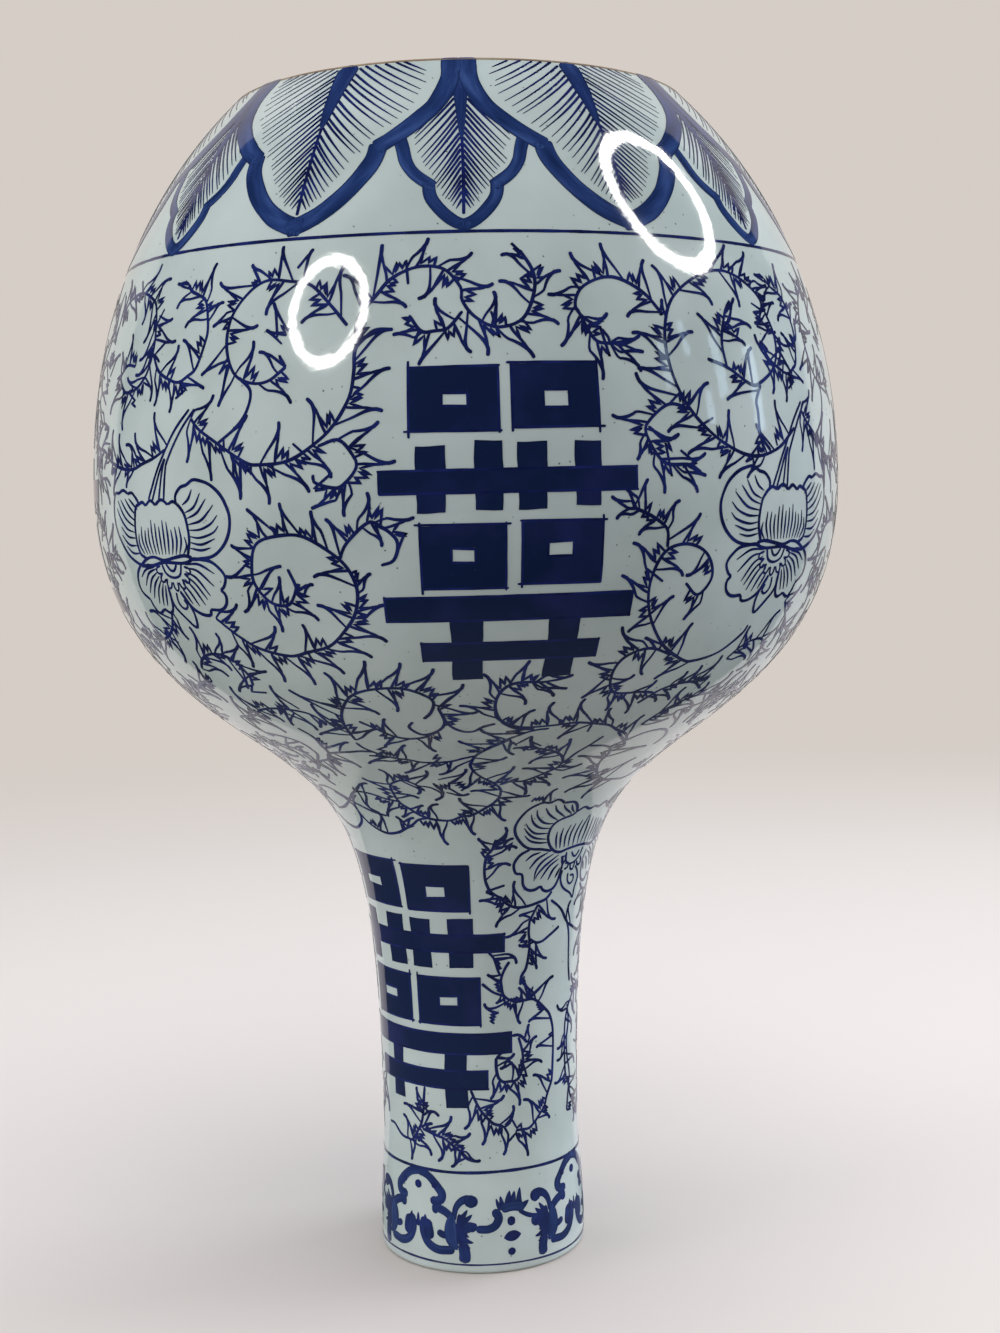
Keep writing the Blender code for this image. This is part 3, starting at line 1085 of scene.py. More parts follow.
@dataclass
class MouthBorder:
    """Border between the two lines at the mouth: scrolled brackets and flame-crowned arches.

    Spots are angles from a motif's own middle, and distances from the mouth. Crown and fringe
    are the root, tip and width of their pointed strokes.
    """

    outline: VaseOutline
    arches: tuple[float, ...] = (15.5, 103.0, 190.0, 278.0)
    brackets: tuple[float, ...] = (-38.5, 62.5, 146.5, 234.0)
    crown: tuple[tuple[Spot, Spot, float], ...] = (
        ((-5.6, 28), (-8.2, 33.2), 2.4), ((-4, 28.6), (-5.8, 34.2), 2.7),
        ((-1.4, 29.4), (-0.4, 36.2), 3.6), ((1.4, 29.4), (2.3, 35.8), 3.2),
        ((4.8, 29), (5.6, 37), 2.9), ((6, 28), (10.8, 30.8), 3.4))
    fringe: tuple[tuple[Spot, Spot, float], ...] = (
        ((25.6, 23.6), (30.6, 28.6), 3), ((28, 23.4), (33.2, 26.6), 2.8),
        ((27.4, 19), (31.4, 16.6), 2.2), ((28, 15.8), (33.8, 14.2), 2.6),
        ((27.8, 13), (32, 11.8), 2.2), ((5.6, 21.4), (4.7, 24.6), 2.2))

    def flames(self, work: Brushwork, at: Callable[..., list[Spot]],
               rows: Sequence[tuple[Spot, Spot, float]], bend: Spot, wash: float) -> None:
        """Paint the pointed strokes of a crown or a fringe.

        Args:
            work: Piece that takes them.
            at: Puts spots of the motif on the chart.
            rows: Root, tip and width of each stroke.
            bend: How far its middle lies off the straight line, in degrees and millimetres.
            wash: How much wash shows in it.
        """
        for root, tip, width in rows:
            middle = ((root[0] + tip[0]) / 2.0 + bend[0], (root[1] + tip[1]) / 2.0 + bend[1])
            work.stroke(at(root, middle, tip), Brush(width, Tip.POINTED, wash=wash, rows=2))

    def arch(self, work: Brushwork, middle: float, wide: float) -> None:
        """Paint one arch with its crown, its two dots and its diamond.

        Args:
            work: Piece that takes it.
            middle: Angle of its middle.
            wide: Share of the full width.
        """
        def at(*spots: Spot) -> list[Spot]:
            """Spots of this motif on the chart."""
            return [(middle + angle * wide, distance) for angle, distance in spots]

        work.stroke(at((-19.6, 20.2), (-15.8, 20.0), (-12.4, 20.1), (-9.0, 21.4), (-7.0, 24.2),
                       (-8.0, 26.6), (-10.6, 27.6)), Brush(3.9, wash=0.6, tremor=0.1, rows=3))
        work.stroke(at((4.6, 27.2), (8.0, 25.2), (11.6, 23.9), (15.6, 23.2), (19.5, 23.0)),
                    Brush(2.0, wash=0.3, rows=2))
        work.dot(at((15.4, 21.2))[0], Brush(2.8, rows=2))
        work.stroke(at((-5.6, 28.2), (-0.6, 29.2), (4.4, 28.9), (8.0, 27.6)),
                    Brush(4.4, wash=0.5, tremor=0.06, rows=3), layer=0.00002)
        self.flames(work, at, self.crown, (-0.3, 0.0), 0.3)
        work.dot(at((0.0, 22.9))[0], Brush(3.4, rows=2), 1.2)
        work.stroke(at((-4.4, 15.7), (0.3, 16.3), (5.4, 16.7)), Brush(4.4, Tip.LENS, rows=2))
        work.dot(at((-0.1, 9.5))[0], Brush(3.4, rows=2))

    def bracket(self, work: Brushwork, middle: float, wide: float) -> None:
        """Paint one scrolled bracket: a domed top, two curled volutes, flame leaves and a dot.

        Args:
            work: Piece that takes it.
            middle: Angle of its middle.
            wide: Share of the full width.
        """
        for side in (-1, 1):
            def at(*spots: Spot) -> list[Spot]:
                """Spots of this half on the chart."""
                return [(middle + side * angle * wide, distance) for angle, distance in spots]

            work.stroke(at((-1.0, 43.3), (3.4, 42.7), (7.4, 41.4), (11.0, 39.0), (13.4, 37.0),
                           (15.6, 34.8), (15.0, 32.2), (11.6, 31.2), (8.4, 31.9)),
                        Brush(3.8, wash=0.5, tremor=0.1, rows=4))
            work.dot(at((10.8, 37.9))[0], Brush(2.8, rows=2))
            work.stroke(at((13.6, 31.2), (11.6, 28.2), (12.2, 25.8)), Brush(3.6, wash=0.4, rows=2))
            work.stroke(at((12.4, 28.6), (17.4, 27.2), (22.0, 24.6)), Brush(3.6, wash=0.5, rows=2))
            work.stroke(at((21.6, 26.4), (20.8, 20.4), (21.4, 14.8), (24.6, 10.8)),
                        Brush(6.4, Tip.LENS, wash=0.9, tremor=0.12, rows=6), layer=0.00002)
            work.stroke(at((25.6, 26.6), (27.4, 22.0), (26.6, 17.0), (27.2, 12.0)),
                        Brush(6.2, Tip.LENS, wash=0.2, tremor=0.12, rows=3), layer=0.00001)
            work.dot(at((30.6, 20.8))[0], Brush(4.6, wash=0.3, rows=3))
            work.stroke(at((27.6, 14.0), (28.7, 9.4), (28.4, 5.0)),
                        Brush(4.9, wash=0.5, tremor=0.06, rows=3, blunt=0.7))
            work.stroke(at((23.0, 10.6), (18.0, 10.2), (13.4, 10.0), (8.8, 11.2), (5.4, 13.6),
                           (3.4, 17.4), (3.7, 20.8), (5.2, 23.2)),
                        Brush(3.8, wash=0.5, tremor=0.08, rows=3))
            work.stroke(at((7.6, 13.8), (7.4, 17.4), (6.6, 20.6), (6.4, 22.8)),
                        Brush(5.0, wash=0.3, tremor=0.08, rows=3), layer=0.00003)
            work.stroke(at((18.6, 16.4), (15.2, 17.2), (13.0, 18.4)), Brush(3.0, wash=0.3, rows=2))
            work.stroke(at((22.8, 23.4), (23.6, 28.4), (26.4, 31.8), (30.6, 33.2), (33.6, 32.4)),
                        Brush(3.8, Tip.LEAF, wash=0.4, tremor=0.06, rows=3))
            work.dot(at((32.6, 32.2))[0], Brush(5.6, wash=0.3, rows=3))
            work.stroke(at((28.6, 22.4), (32.4, 21.4), (35.6, 20.0)),
                        Brush(4.9, Tip.LEAF, wash=0.4, rows=3))
            self.flames(work, at, self.fringe, (0.0, -0.4), 0.2)
        work.stroke([(middle, 18.6), (middle, 24.8)], Brush(2.4, Tip.POINTED, rows=2))
        work.dot((middle - 0.2, 37.2), Brush(3.7, rows=2))

    def paint(self, cobalt: bpy.types.Material) -> None:
        """Paint four arches between four brackets.

        Args:
            cobalt: Finish of the painting.
        """
        work = Brushwork(self.outline, "mouth_border", 31, spacing=0.9)
        for k, middle in enumerate(self.arches):
            self.arch(work, middle, 1.0 if k == 0 else 0.86)
        for k, middle in enumerate(self.brackets):
            self.bracket(work, middle, 0.98 if k < 2 else 0.84)
        work.finish(cobalt)


# Painting: the wedding signs

@dataclass(frozen=True)
class SignShape:
    """A double joy sign: bars and squares by left and right angle and low and high distance."""

    bars: tuple[Bar, ...]
    squares: tuple[tuple[Bar, Bar], ...]


GLOBE_SIGN = SignShape(
    bars=(
        (-16.8, 17, 376.5, 384.6), (-12, -8.2, 369.5, 376.5), (-12, -8.2, 384.6, 393.2),
        (-4.5, -0.9, 370, 376.5), (-4.5, -0.9, 384.6, 394.6), (1, 4.8, 370.2, 376.5),
        (1, 4.8, 384.6, 394.2), (8.5, 12, 371, 376.5), (8.5, 12, 384.6, 394),
        (-17, 17.3, 329.2, 338.8), (-8.3, -3.7, 302.5, 312), (-8.3, -3.7, 320, 329.2),
        (5.5, 10, 303, 312), (5.5, 10, 320, 329.2), (-12.5, 13.3, 312, 320)),
    squares=(
        ((-12.8, -1.2, 398, 421), (-8.5, -5.2, 407, 411.7)), ((0.5, 12, 399, 422),
         (4.6, 8, 406.4, 412)), ((-11.7, -0.6, 341.8, 365), (-7.7, -4.6, 351.5, 356.6)),
        ((1.5, 12.3, 343, 366), (4.9, 8.3, 353, 358.6))))

NECK_SIGN = SignShape(
    bars=(
        (-51, 52, 142, 149.6), (-37, -26, 134.4, 142), (-37, -26, 149.6, 157),
        (-15, -2.6, 134.4, 142), (-15, -2.6, 149.6, 157), (2, 13.5, 134.6, 142),
        (2, 13.5, 149.6, 156.4), (23, 36, 135, 142), (23, 36, 149.6, 157), (-53, 56, 97, 105.6),
        (-20, -10.6, 74, 81.6), (-20, -10.6, 89.4, 97), (18, 31, 73, 81.6), (18, 31, 89.4, 97),
        (-34, 42.2, 81.6, 89.4)),
    squares=(
        ((-34.5, -2.3, 160.6, 182.4), (-26.4, -13.6, 168.6, 173.6)), ((2.2, 34.8, 160.2, 181.4),
         (13.2, 23.4, 166.4, 171.6)), ((-35.5, -1.6, 109.8, 130.6), (-25, -12.4, 118.2, 122.8)),
        ((3.6, 39, 109.6, 130.2), (16.2, 27, 117.8, 122.4))))


@dataclass
class JoySigns:
    """Double joy signs on the globe and the neck, upside down while the vase is mouth down."""

    outline: VaseOutline
    globe_middles: tuple[float, ...]
    neck_middles: tuple[float, ...] = (-38.0, 142.0)
    outline_width: float = 0.9
    long_bar: float = 25.0

    def trace(self, work: Brushwork, middle: float, bar: Bar, over: float) -> None:
        """Draw the thin outline of one field, with strokes that run past its corners.

        Args:
            work: Piece that takes it.
            middle: Angle of the sign's middle.
            bar: The field.
            over: How far the strokes run past, in millimetres.
        """
        left, right, low, high = bar
        pen = Brush(self.outline_width, tremor=0.15)
        for distance in (low, high):
            start, end = (self.outline.step((middle + angle, distance), way * work.rng.uniform(
                0.0, over), work.rng.uniform(-0.3, 0.3)) for angle, way in ((left, -1), (right, 1)))
            work.stroke([start, end], pen, layer=0.00001)
        for angle in (left, right):
            work.stroke([(middle + angle, low - work.rng.uniform(0.0, over)),
                         (middle + angle, high + work.rng.uniform(0.0, over))], pen,
                        layer=0.00001)

    def sign(self, work: Brushwork, middle: float, shape: SignShape) -> None:
        """Fill one sign: bars, and squares as four fields round their hole.

        Args:
            work: Piece that takes it.
            middle: Angle of the sign's middle.
            shape: Its bars and squares.
        """
        def fill(left: float, right: float, low: float, high: float) -> None:
            """Fill one field of the sign."""
            work.patch(middle + left, middle + right, low, high)

        for bar in shape.bars:
            fill(*bar)
            if bar[1] - bar[0] > self.long_bar:
                self.trace(work, middle, bar, 0.8)
        for (left, right, low, high), (in_left, in_right, in_low, in_high) in shape.squares:
            self.trace(work, middle, (left, right, low, high), 2.4)
            self.trace(work, middle, (in_left, in_right, in_low, in_high), 0.3)
            fill(left, in_left, low, high)
            fill(in_right, right, low, high)
            fill(in_left, in_right, low, in_low)
            fill(in_left, in_right, in_high, high)

    def paint(self, cobalt: bpy.types.Material) -> None:
        """Paint all the signs.

        Args:
            cobalt: Finish of the painting.
        """
        work = Brushwork(self.outline, "joy_signs", 41, lift=0.00013)
        for middles, shape in ((self.globe_middles, GLOBE_SIGN), (self.neck_middles, NECK_SIGN)):
            for middle in middles:
                self.sign(work, middle, shape)
        work.finish(cobalt)


# Painting: flowers

@dataclass
class LotusFlower:
    """The globe's lotus: ribbed dome, two side petals, seed head, two lobed petals and a curl.

    Spots are millimetres to the right and towards the foot from the flower's middle.
    """

    outline: VaseOutline
    middle: Spot
    mirrored: bool = False
    outlines: Strokes = (
        ((-14.5, -0.6), (-19, 1.5), (-20.5, 7.5), (-19.7, 14.9), (-18.3, 19.3), (-15.4, 20.7),
         (-12.6, 21.4), (-10.4, 20)), ((-10.4, 20.1), (-6.8, 22), (-3.4, 20.2)), ((-3.4, 20.3),
         (0.6, 22.2), (4.8, 20.3)), ((4.8, 20.4), (8.4, 21.4), (12.7, 18.5), (14.8, 14.9),
         (15.6, 7.5), (13.4, 0.9)), ((9.8, 20.4), (9.8, 23.7), (12.7, 26.6), (16.3, 27.5),
         (19.9, 29.3), (24.2, 28.8), (28.5, 27.4), (32.9, 24.4), (35.7, 20.7), (37.5, 15.6),
         (36.5, 9.7), (32.9, 4.6), (27.1, 0.9), (19.9, -0.3), (13.4, -0.6)), ((-15.4, 20.6),
         (-17.6, 22.9), (-21.2, 25.1), (-24.8, 24.7)), ((-24.8, 24.9), (-29.1, 26.2), (-33.4, 25.1),
         (-37, 25.1), (-38.9, 22.2), (-39.9, 16.3), (-38.5, 10.4), (-34.9, 5.3), (-29.1, 0.1),
         (-20.5, -3.1), (-13.3, -3.1)), ((-21.2, -3.2), (-25.5, -6.5), (-27.4, -10.9),
         (-26.2, -14.6), (-21.2, -17.5)), ((-21.4, -17.4), (-20.5, -20.4), (-17.6, -23.1),
         (-12.5, -21.2)), ((-12.6, -21), (-8.9, -22.6), (-6.1, -21.2), (-4.6, -17.5),
         (-3.9, -11.6)), ((15.6, -0.1), (24.2, -1), (28.5, -3.5), (31.1, -7.2), (29.3, -10.9),
         (27.1, -12.4)), ((27.1, -12.2), (29, -14.6), (27.8, -18.2), (24.2, -20.4), (18.4, -20.4)),
        ((18.6, -20.4), (17, -22.8), (12.7, -22.6), (8.4, -20.4), (5.5, -16.8), (3.3, -13.1)),
        ((-20.8, -3.4), (-14.7, -0.6), (-8.9, 0.2), (-2.4, -1), (5.5, 0.2), (11.3, 0.9),
         (15.6, -0.2), (9.8, -2), (-2.4, -1.8), (-10.4, -3.1), (-20.5, -3.6)), ((-3.9, -13.1),
         (-3.9, -19), (0.4, -24.1), (5.5, -28.5), (7.6, -23.4), (6.2, -17.5), (3.3, -13.1)))
    ribs: Strokes = (
        ((13.4, 20), (17, 22.2), (19.2, 25.9)), ((14.8, 17.1), (19.9, 19.3), (23.5, 24.4)),
        ((15.3, 14.9), (21.3, 17.1), (26.4, 22.2)), ((15.6, 12.6), (22.8, 14.1), (27.8, 17.8),
         (30, 20)), ((15.7, 10.6), (22, 10.8), (28, 12.9), (31.8, 16.2)), ((15.6, 8.3), (21.3, 7.7),
         (28.5, 9.5), (31.8, 12.2)), ((15.6, 6), (22, 5.2), (29.4, 7.4)), ((15.4, 3.8), (21.3, 3),
         (26.6, 4)), ((-16.9, 18.5), (-20.5, 20.7), (-24.1, 22.9)), ((-18.3, 16.3), (-23.3, 19.3),
         (-27.7, 22.9)), ((-19.3, 14.1), (-25.5, 17.1), (-32, 22.6)), ((-20.2, 11.9), (-26.2, 14.1),
         (-30.5, 17.1), (-34.9, 22.2)), ((-20.7, 9.7), (-27.7, 11.2), (-33.4, 15.6), (-36.4, 19.2)),
        ((-20.7, 7.5), (-27.7, 8.2), (-33.4, 11.9)), ((-20.5, 4.6), (-27.7, 4.9), (-33.6, 8.7)),
        ((-19, 1.6), (-25.5, 1.6), (-30.5, 4.3)), ((-8.9, -4.3), (-16.1, -6.5), (-21.2, -11.6)),
        ((-8.9, -5.7), (-14.7, -8.7), (-19.7, -14.6)), ((-8.2, -7.2), (-13.3, -10.9),
         (-17.6, -16.8)), ((-7.5, -8.7), (-11.8, -13.1), (-14.7, -19)), ((-6.8, -10.1),
         (-9.7, -14.6), (-11.8, -19.7)), ((-5.6, -11), (-7.5, -16), (-9, -19.7)), ((-10.4, -3.9),
         (-17.6, -4.9), (-23, -8.1)), ((10.4, -2.6), (18.4, -2.4), (26, -6)), ((10, -3.9), (17, -5),
         (24.2, -10.9)), ((9.8, -5.2), (15.6, -7.9), (20.8, -14.8)), ((9.1, -6.7), (14.1, -10.1),
         (18.6, -16.4)), ((8.4, -8.1), (12.7, -12.4), (16.3, -18.6)), ((6.4, -9.8), (9.8, -13.8),
         (12.7, -19.2)), ((5, -11.2), (6.9, -14.6), (9.1, -18.4)))
    heart: Strokes = (
        ((-1.6, -2.4), (0.6, -4.8), (3, -5), (5.2, -2.6)), ((-4.4, -2.6), (-2.8, -6.2), (1.6, -7.8),
         (6.2, -6.6), (8.2, -2.4)), ((0.4, -13.8), (0, -18.2), (2.6, -20.6), (5.2, -19.2),
         (4, -16.6)))

    def spots(self, points: Iterable[Spot]) -> list[Spot]:
        """Chart spots of points of the flower."""
        side = -1.0 if self.mirrored else 1.0
        return [self.outline.step(self.middle, side * x, y) for x, y in points]

    def dome_ribs(self, work: Brushwork, brush: Brush, count: int = 13) -> None:
        """Paint the upright strokes of the dome, which lean outwards from its middle.

        Args:
            work: Piece that takes them.
            brush: The brush.
            count: How many there are.
        """
        for i in range(count):
            share = (i - (count - 1) / 2.0) / (count / 2.0)
            reach = 13.6 - 5.0 * share * share + 1.6 * math.sin(i * 1.9)
            foot = -2.4 + share * 14.2
            work.stroke(self.spots(((foot, 1.2), (-2.4 + share * 17.2, reach * 0.55),
                                    (-2.4 + share * 16.6, reach))), brush)

    def seeds(self, work: Brushwork, brush: Brush, count: int = 7) -> None:
        """Paint the small loops round the seed head.

        Args:
            work: Piece that takes them.
            brush: The brush.
            count: How many there are.
        """
        for i in range(count):
            turn = math.radians(188.0 + i * 164.0 / (count - 1))
            x, y = 1.8 + math.cos(turn) * 7.6, -4.0 + math.sin(turn) * 5.6
            out_x, out_y = math.cos(turn) * 3.6, math.sin(turn) * 3.6
            loop = [(x - out_y * aside + out_x * out, y + out_x * aside + out_y * out)
                    for aside, out in ((0.4, 0.0), (0.35, 0.7), (0.0, 1.0), (-0.35, 0.7),
                                       (-0.4, 0.0))]
            work.stroke(self.spots(loop), brush)

    def stem(self, work: Brushwork, path: Sequence[Spot]) -> None:
        """Paint the stalk: two lines that part into four where they meet the dome.

        Args:
            work: Piece that takes it.
            path: Spots along the stalk's middle, on the chart, from the dome.
        """
        for beside in ((-5.2, -2.7, -2.0, -1.8, -1.4), (-2.4, -0.7, 0.0), (2.0, 0.8, 0.2),
                       (5.2, 2.8, 2.1, 1.9, 1.5)):
            shifted = [self.outline.step(spot, right, 0.0) for spot, right in zip(path, beside)]
            work.stroke(shifted, Brush(1.15, tremor=0.1))

    def paint(self, work: Brushwork, stem: Sequence[Spot]) -> None:
        """Paint the whole flower.

        Args:
            work: Piece that takes it.
            stem: Spots along its stalk.
        """
        fine = Brush(1.05, Tip.LENS, tremor=0.1)
        for strokes, brush in ((self.outlines, Brush(1.35, tremor=0.14)), (self.ribs, fine),
                               (self.heart, Brush(1.1, tremor=0.1))):
            for stroke in strokes:
                work.stroke(self.spots(stroke), brush)
        self.dome_ribs(work, fine)
        self.seeds(work, Brush(0.95, tremor=0.08))
        self.stem(work, stem)


@dataclass
class BroadLotus:
    """The neck's lotus: a ribbed dome between two broad petals, two lobed ones below them.

    Spots are degrees to the left of the flower's middle, and millimetres from the mouth. All but
    the seed head and the lowest leaf is painted on both sides.
    """

    middle: float
    outlines: Strokes = (
        ((17.1, 185.5), (22.7, 187), (27.8, 187.8), (31.3, 189.5), (34.4, 193), (36.2, 196.5),
         (36.7, 200), (35.7, 204), (33.9, 208), (31.9, 210.8), (28.8, 213), (27.3, 213.1),
         (25.2, 212.3)), ((25.4, 212.3), (23, 214.2), (20.9, 213.2), (19.1, 211.2)), ((19.1, 211.5),
         (15.1, 211.3), (12.8, 209.5), (11.5, 207.5), (10.2, 204.5)), ((10.2, 204.5), (12, 203),
         (15.6, 202), (18.6, 200.5), (20.4, 198), (20.9, 194.5), (20.2, 191), (18.1, 187.5),
         (15.1, 185), (11.5, 184.2), (7.4, 185), (1.8, 185.5), (-1, 185.5)), ((10.2, 204.5),
         (8.2, 206.2), (6.4, 206.5), (3.2, 204.8), (0, 205.8)), ((28.3, 187.6), (32.4, 185.5),
         (34.7, 182.5), (35.2, 180), (33.9, 176.7), (30.8, 175.8), (29.8, 171), (27.3, 168.5),
         (23.7, 168), (20.2, 169.3)), ((20.2, 169.6), (18.6, 167.5), (15.6, 166.5), (12, 167.5),
         (10, 170), (9, 173.5), (8.4, 178), (9.9, 182)))
    ribs: Strokes = (
        ((32.1, 195), (29.3, 192), (25.2, 190.5), (20.2, 190)), ((32.9, 199), (30.3, 195.5),
         (26.8, 193), (21.2, 191.8)), ((32.6, 201.5), (30.8, 198.5), (27.3, 195.5), (21.2, 194.8)),
        ((31.3, 206.5), (30.3, 203), (28.3, 200), (25.2, 198), (20.7, 197.3)), ((29.6, 209),
         (28.5, 205), (25.7, 201.5), (22.7, 200), (20, 199.8)), ((26.3, 209.5), (24.2, 206),
         (21.7, 203.5), (18.6, 201.3)), ((22.7, 210.8), (21.2, 207.5), (18.6, 205), (15.6, 202.6)),
        ((19.1, 210.5), (17.1, 207.5), (13.5, 204.5), (12.8, 203.2)), ((15.1, 209.8), (13.5, 206.5),
         (11.5, 204.5)), ((16.6, 195), (16.1, 191), (14.6, 186)), ((13.8, 196.5), (13.8, 192),
         (12.5, 186)), ((10, 197.5), (11, 192), (10, 186)), ((7.4, 197.8), (8.2, 192), (7.4, 186)),
        ((3.8, 199), (5, 192), (4.4, 186)), ((0.4, 201), (1.8, 193), (1.3, 186.4)), ((22.7, 185.5),
         (26.8, 184.5), (29.8, 182)), ((18.6, 185), (23.7, 182.5), (27.5, 178)), ((15.1, 184),
         (20.7, 181), (23.7, 177), (24.2, 172)), ((12, 183), (18.6, 179), (22.7, 175), (23.4, 173)),
        ((11.5, 181), (16.6, 178), (20.7, 172.5)), ((11, 178.5), (14, 176), (16.3, 171.5)),
        ((9.5, 176.5), (12, 172)))
    heart: Strokes = (
        ((7.4, 183.5), (5.9, 178.5), (2.3, 177.3), (-1.7, 178.3), (-4.2, 181), (-5, 184)),
        ((3.7, 183), (1.3, 180.6), (-0.6, 180.6), (-2.4, 183)), ((8.8, 182), (9.4, 180),
         (8.6, 178.4), (7.4, 178.6), (7, 180.6), (8.2, 182.2)), ((6.4, 177.6), (5.4, 178.4),
         (4, 177.4), (4.6, 175.6), (6.6, 175.4)), ((2.6, 177.2), (1.6, 174.6), (-0.4, 174.4),
         (-1, 177.6)), ((-2.4, 177.8), (-4, 175.6), (-6.4, 176.4), (-5.2, 179.6)), ((7.4, 175),
         (7.9, 171), (4.9, 166.5), (-1.7, 163), (-4.8, 160.5), (-5.3, 165), (-6.8, 169),
         (-5.3, 172.5), (-2.2, 175.5)), ((2.9, 173), (2.3, 169.5), (-0.2, 167.5), (-2.7, 169),
         (-1.7, 171.5), (0.8, 171.5)))

    def paint(self, work: Brushwork) -> None:
        """Paint the whole flower.

        Args:
            work: Piece that takes it.
        """
        for strokes, brush in ((self.outlines, Brush(1.35, tremor=0.12)),
                               (self.ribs, Brush(1.15, Tip.LENS, tremor=0.12))):
            for stroke in strokes:
                for side in (-1.0, 1.0):
                    work.stroke([(self.middle + side * x, y) for x, y in stroke], brush)
        for stroke in self.heart:
            work.stroke([(self.middle - x, y) for x, y in stroke], Brush(1.1, tremor=0.12))


# Painting: scroll vines. Each runs from its root to its tip. A leaf's row has the angle and the
# distance of its foot and of its tip, its bend and its comb, as HornLeaf has them.

GLOBE_VINES: Strokes = (
    ((-50, 432), (-48, 425), (-44.9, 421), (-43, 420), (-41.2, 422), (-39.6, 425), (-38.4, 434),
     (-38.2, 440), (-39.4, 450), (-41.2, 453), (-43, 455), (-44.1, 458)),
    ((-35, 396), (-31.7, 402), (-30, 408), (-29.6, 415), (-31.6, 420)),
    ((-15.6, 437), (-18.2, 445), (-21.4, 453), (-24.8, 455), (-28.5, 456), (-31.4, 452),
     (-33.9, 443), (-34.2, 432), (-32.6, 422), (-30, 418), (-27, 418), (-24.2, 423)),
    ((-40, 406), (-38.5, 402), (-36, 398), (-33.5, 394), (-30.2, 389), (-28.2, 388), (-23.8, 389),
     (-20.3, 394), (-17.3, 401), (-15.1, 411), (-14.5, 420), (-14.4, 428), (-13.2, 432),
     (-11.7, 435), (-9.4, 435)),
    ((-19.4, 394), (-16.5, 396), (-14.5, 390), (-14.2, 386), (-15.6, 381), (-17, 379),
     (-19.8, 381), (-20.1, 384)),
    ((-14.6, 430), (-14, 440), (-11.7, 448), (-9.7, 454), (-6.2, 458), (-2.6, 457), (-0.3, 450),
     (-0.1, 445), (1.5, 439), (4.4, 435), (7.9, 438), (9.7, 448), (9.7, 456), (8.1, 464)),
    ((-0.1, 441), (-2, 435), (-3.8, 434), (-5.6, 434), (-7.2, 440)),
    ((-39.5, 330), (-36, 322), (-33, 317), (-28.1, 314), (-24.6, 316), (-20.7, 319), (-17.7, 326),
     (-15.8, 333), (-15.1, 342), (-16.1, 350), (-18.3, 356), (-22.2, 362), (-26.3, 362),
     (-29.3, 359), (-30.4, 351), (-30.4, 344), (-28.4, 337), (-25.7, 336), (-24.2, 341),
     (-24, 344), (-24.8, 350)),
    ((-17.1, 353), (-16, 359), (-13.2, 366), (-11.7, 366), (-9.2, 360), (-9.7, 353), (-11.5, 351)),
    ((-24.8, 264), (-24.9, 273), (-24.2, 281), (-22.2, 289), (-19.5, 295), (-15.3, 298),
     (-10.8, 298), (-7.5, 294), (-6.4, 290), (-7.2, 284), (-8.7, 280)),
    ((-5.8, 287), (-5, 278), (-6.4, 272), (-9.7, 269), (-11.9, 274), (-10.9, 278)),
    ((-6.6, 271), (-9.7, 267), (-13, 266), (-16, 268), (-18.6, 273), (-21.3, 278)),
    ((-5.2, 283), (-4.9, 279), (-3.7, 274), (-1.7, 271), (0.3, 271), (2, 274), (4.3, 276)),
    ((15, 271), (11.8, 270), (8.4, 266), (5.5, 262), (3.2, 258), (2, 255)),
    ((53, 399), (48.2, 391), (42.6, 388), (37.4, 392), (33, 400), (30, 410), (28.4, 422),
     (28.3, 434), (30.2, 446), (35, 455), (40.6, 459), (45.4, 456), (49, 448), (47, 439)),
    ((49, 447), (50.7, 434), (49.4, 423), (45.4, 416), (43, 415), (38.6, 421), (35, 424)),
    ((50.6, 435), (53.4, 431), (57.4, 434), (58.8, 443)),
    ((38.5, 421), (38.2, 431), (39.8, 442), (41.4, 447)),
    ((28.4, 440), (25.4, 449), (21, 454), (16.6, 450), (15.3, 442), (17.8, 436), (19.7, 440)),
    ((15.4, 442), (17.4, 431), (19.4, 429), (23, 430)),
    ((31.4, 405), (27.8, 407), (24.6, 401), (24.1, 396), (26.6, 386), (30.6, 385), (32.6, 382)),
    ((24.4, 399), (27, 394), (29, 396)),
    ((22, 370), (24.5, 367), (26.3, 364), (27.3, 361), (27.4, 355)),
    ((46.4, 390), (44.3, 396), (44, 405), (43.9, 409), (45.2, 415)),
    ((47.4, 321), (46.8, 317), (43, 309), (38.2, 306), (35.4, 307), (30.2, 315), (26.4, 328),
     (25.3, 341), (27, 353), (30.6, 356), (34.2, 352), (35.8, 343), (33.8, 336), (31.2, 341)),
    ((32.6, 310), (27.8, 314), (23.8, 310), (22.8, 301), (24.6, 292), (30.2, 291), (33, 290)),
    ((12, 271), (8.5, 272), (5.5, 277), (4, 286), (4.6, 295), (7, 300), (11.8, 300)),
    ((36.6, 257), (34.5, 262), (31, 266), (28.2, 270), (25, 272), (20.2, 274), (15, 273), (9, 273),
     (4.8, 279), (4, 286)),
)

# Vines of the same cells whose leaves are grown along them.
GLOBE_FREE_VINES: Strokes = (
    ((-50, 305), (-48, 310), (-45, 313), (-41.5, 313), (-39.5, 309), (-38.5, 303), (-39, 298)),
    ((-53, 275), (-46, 278), (-43, 282), (-39, 284), (-35, 284), (-31, 282), (-28.5, 276)),
    ((36.6, 268), (40, 278), (45, 284), (51, 284), (55, 277), (54, 269)),
    ((31, 284), (35, 292), (41, 294), (45, 289)),
)

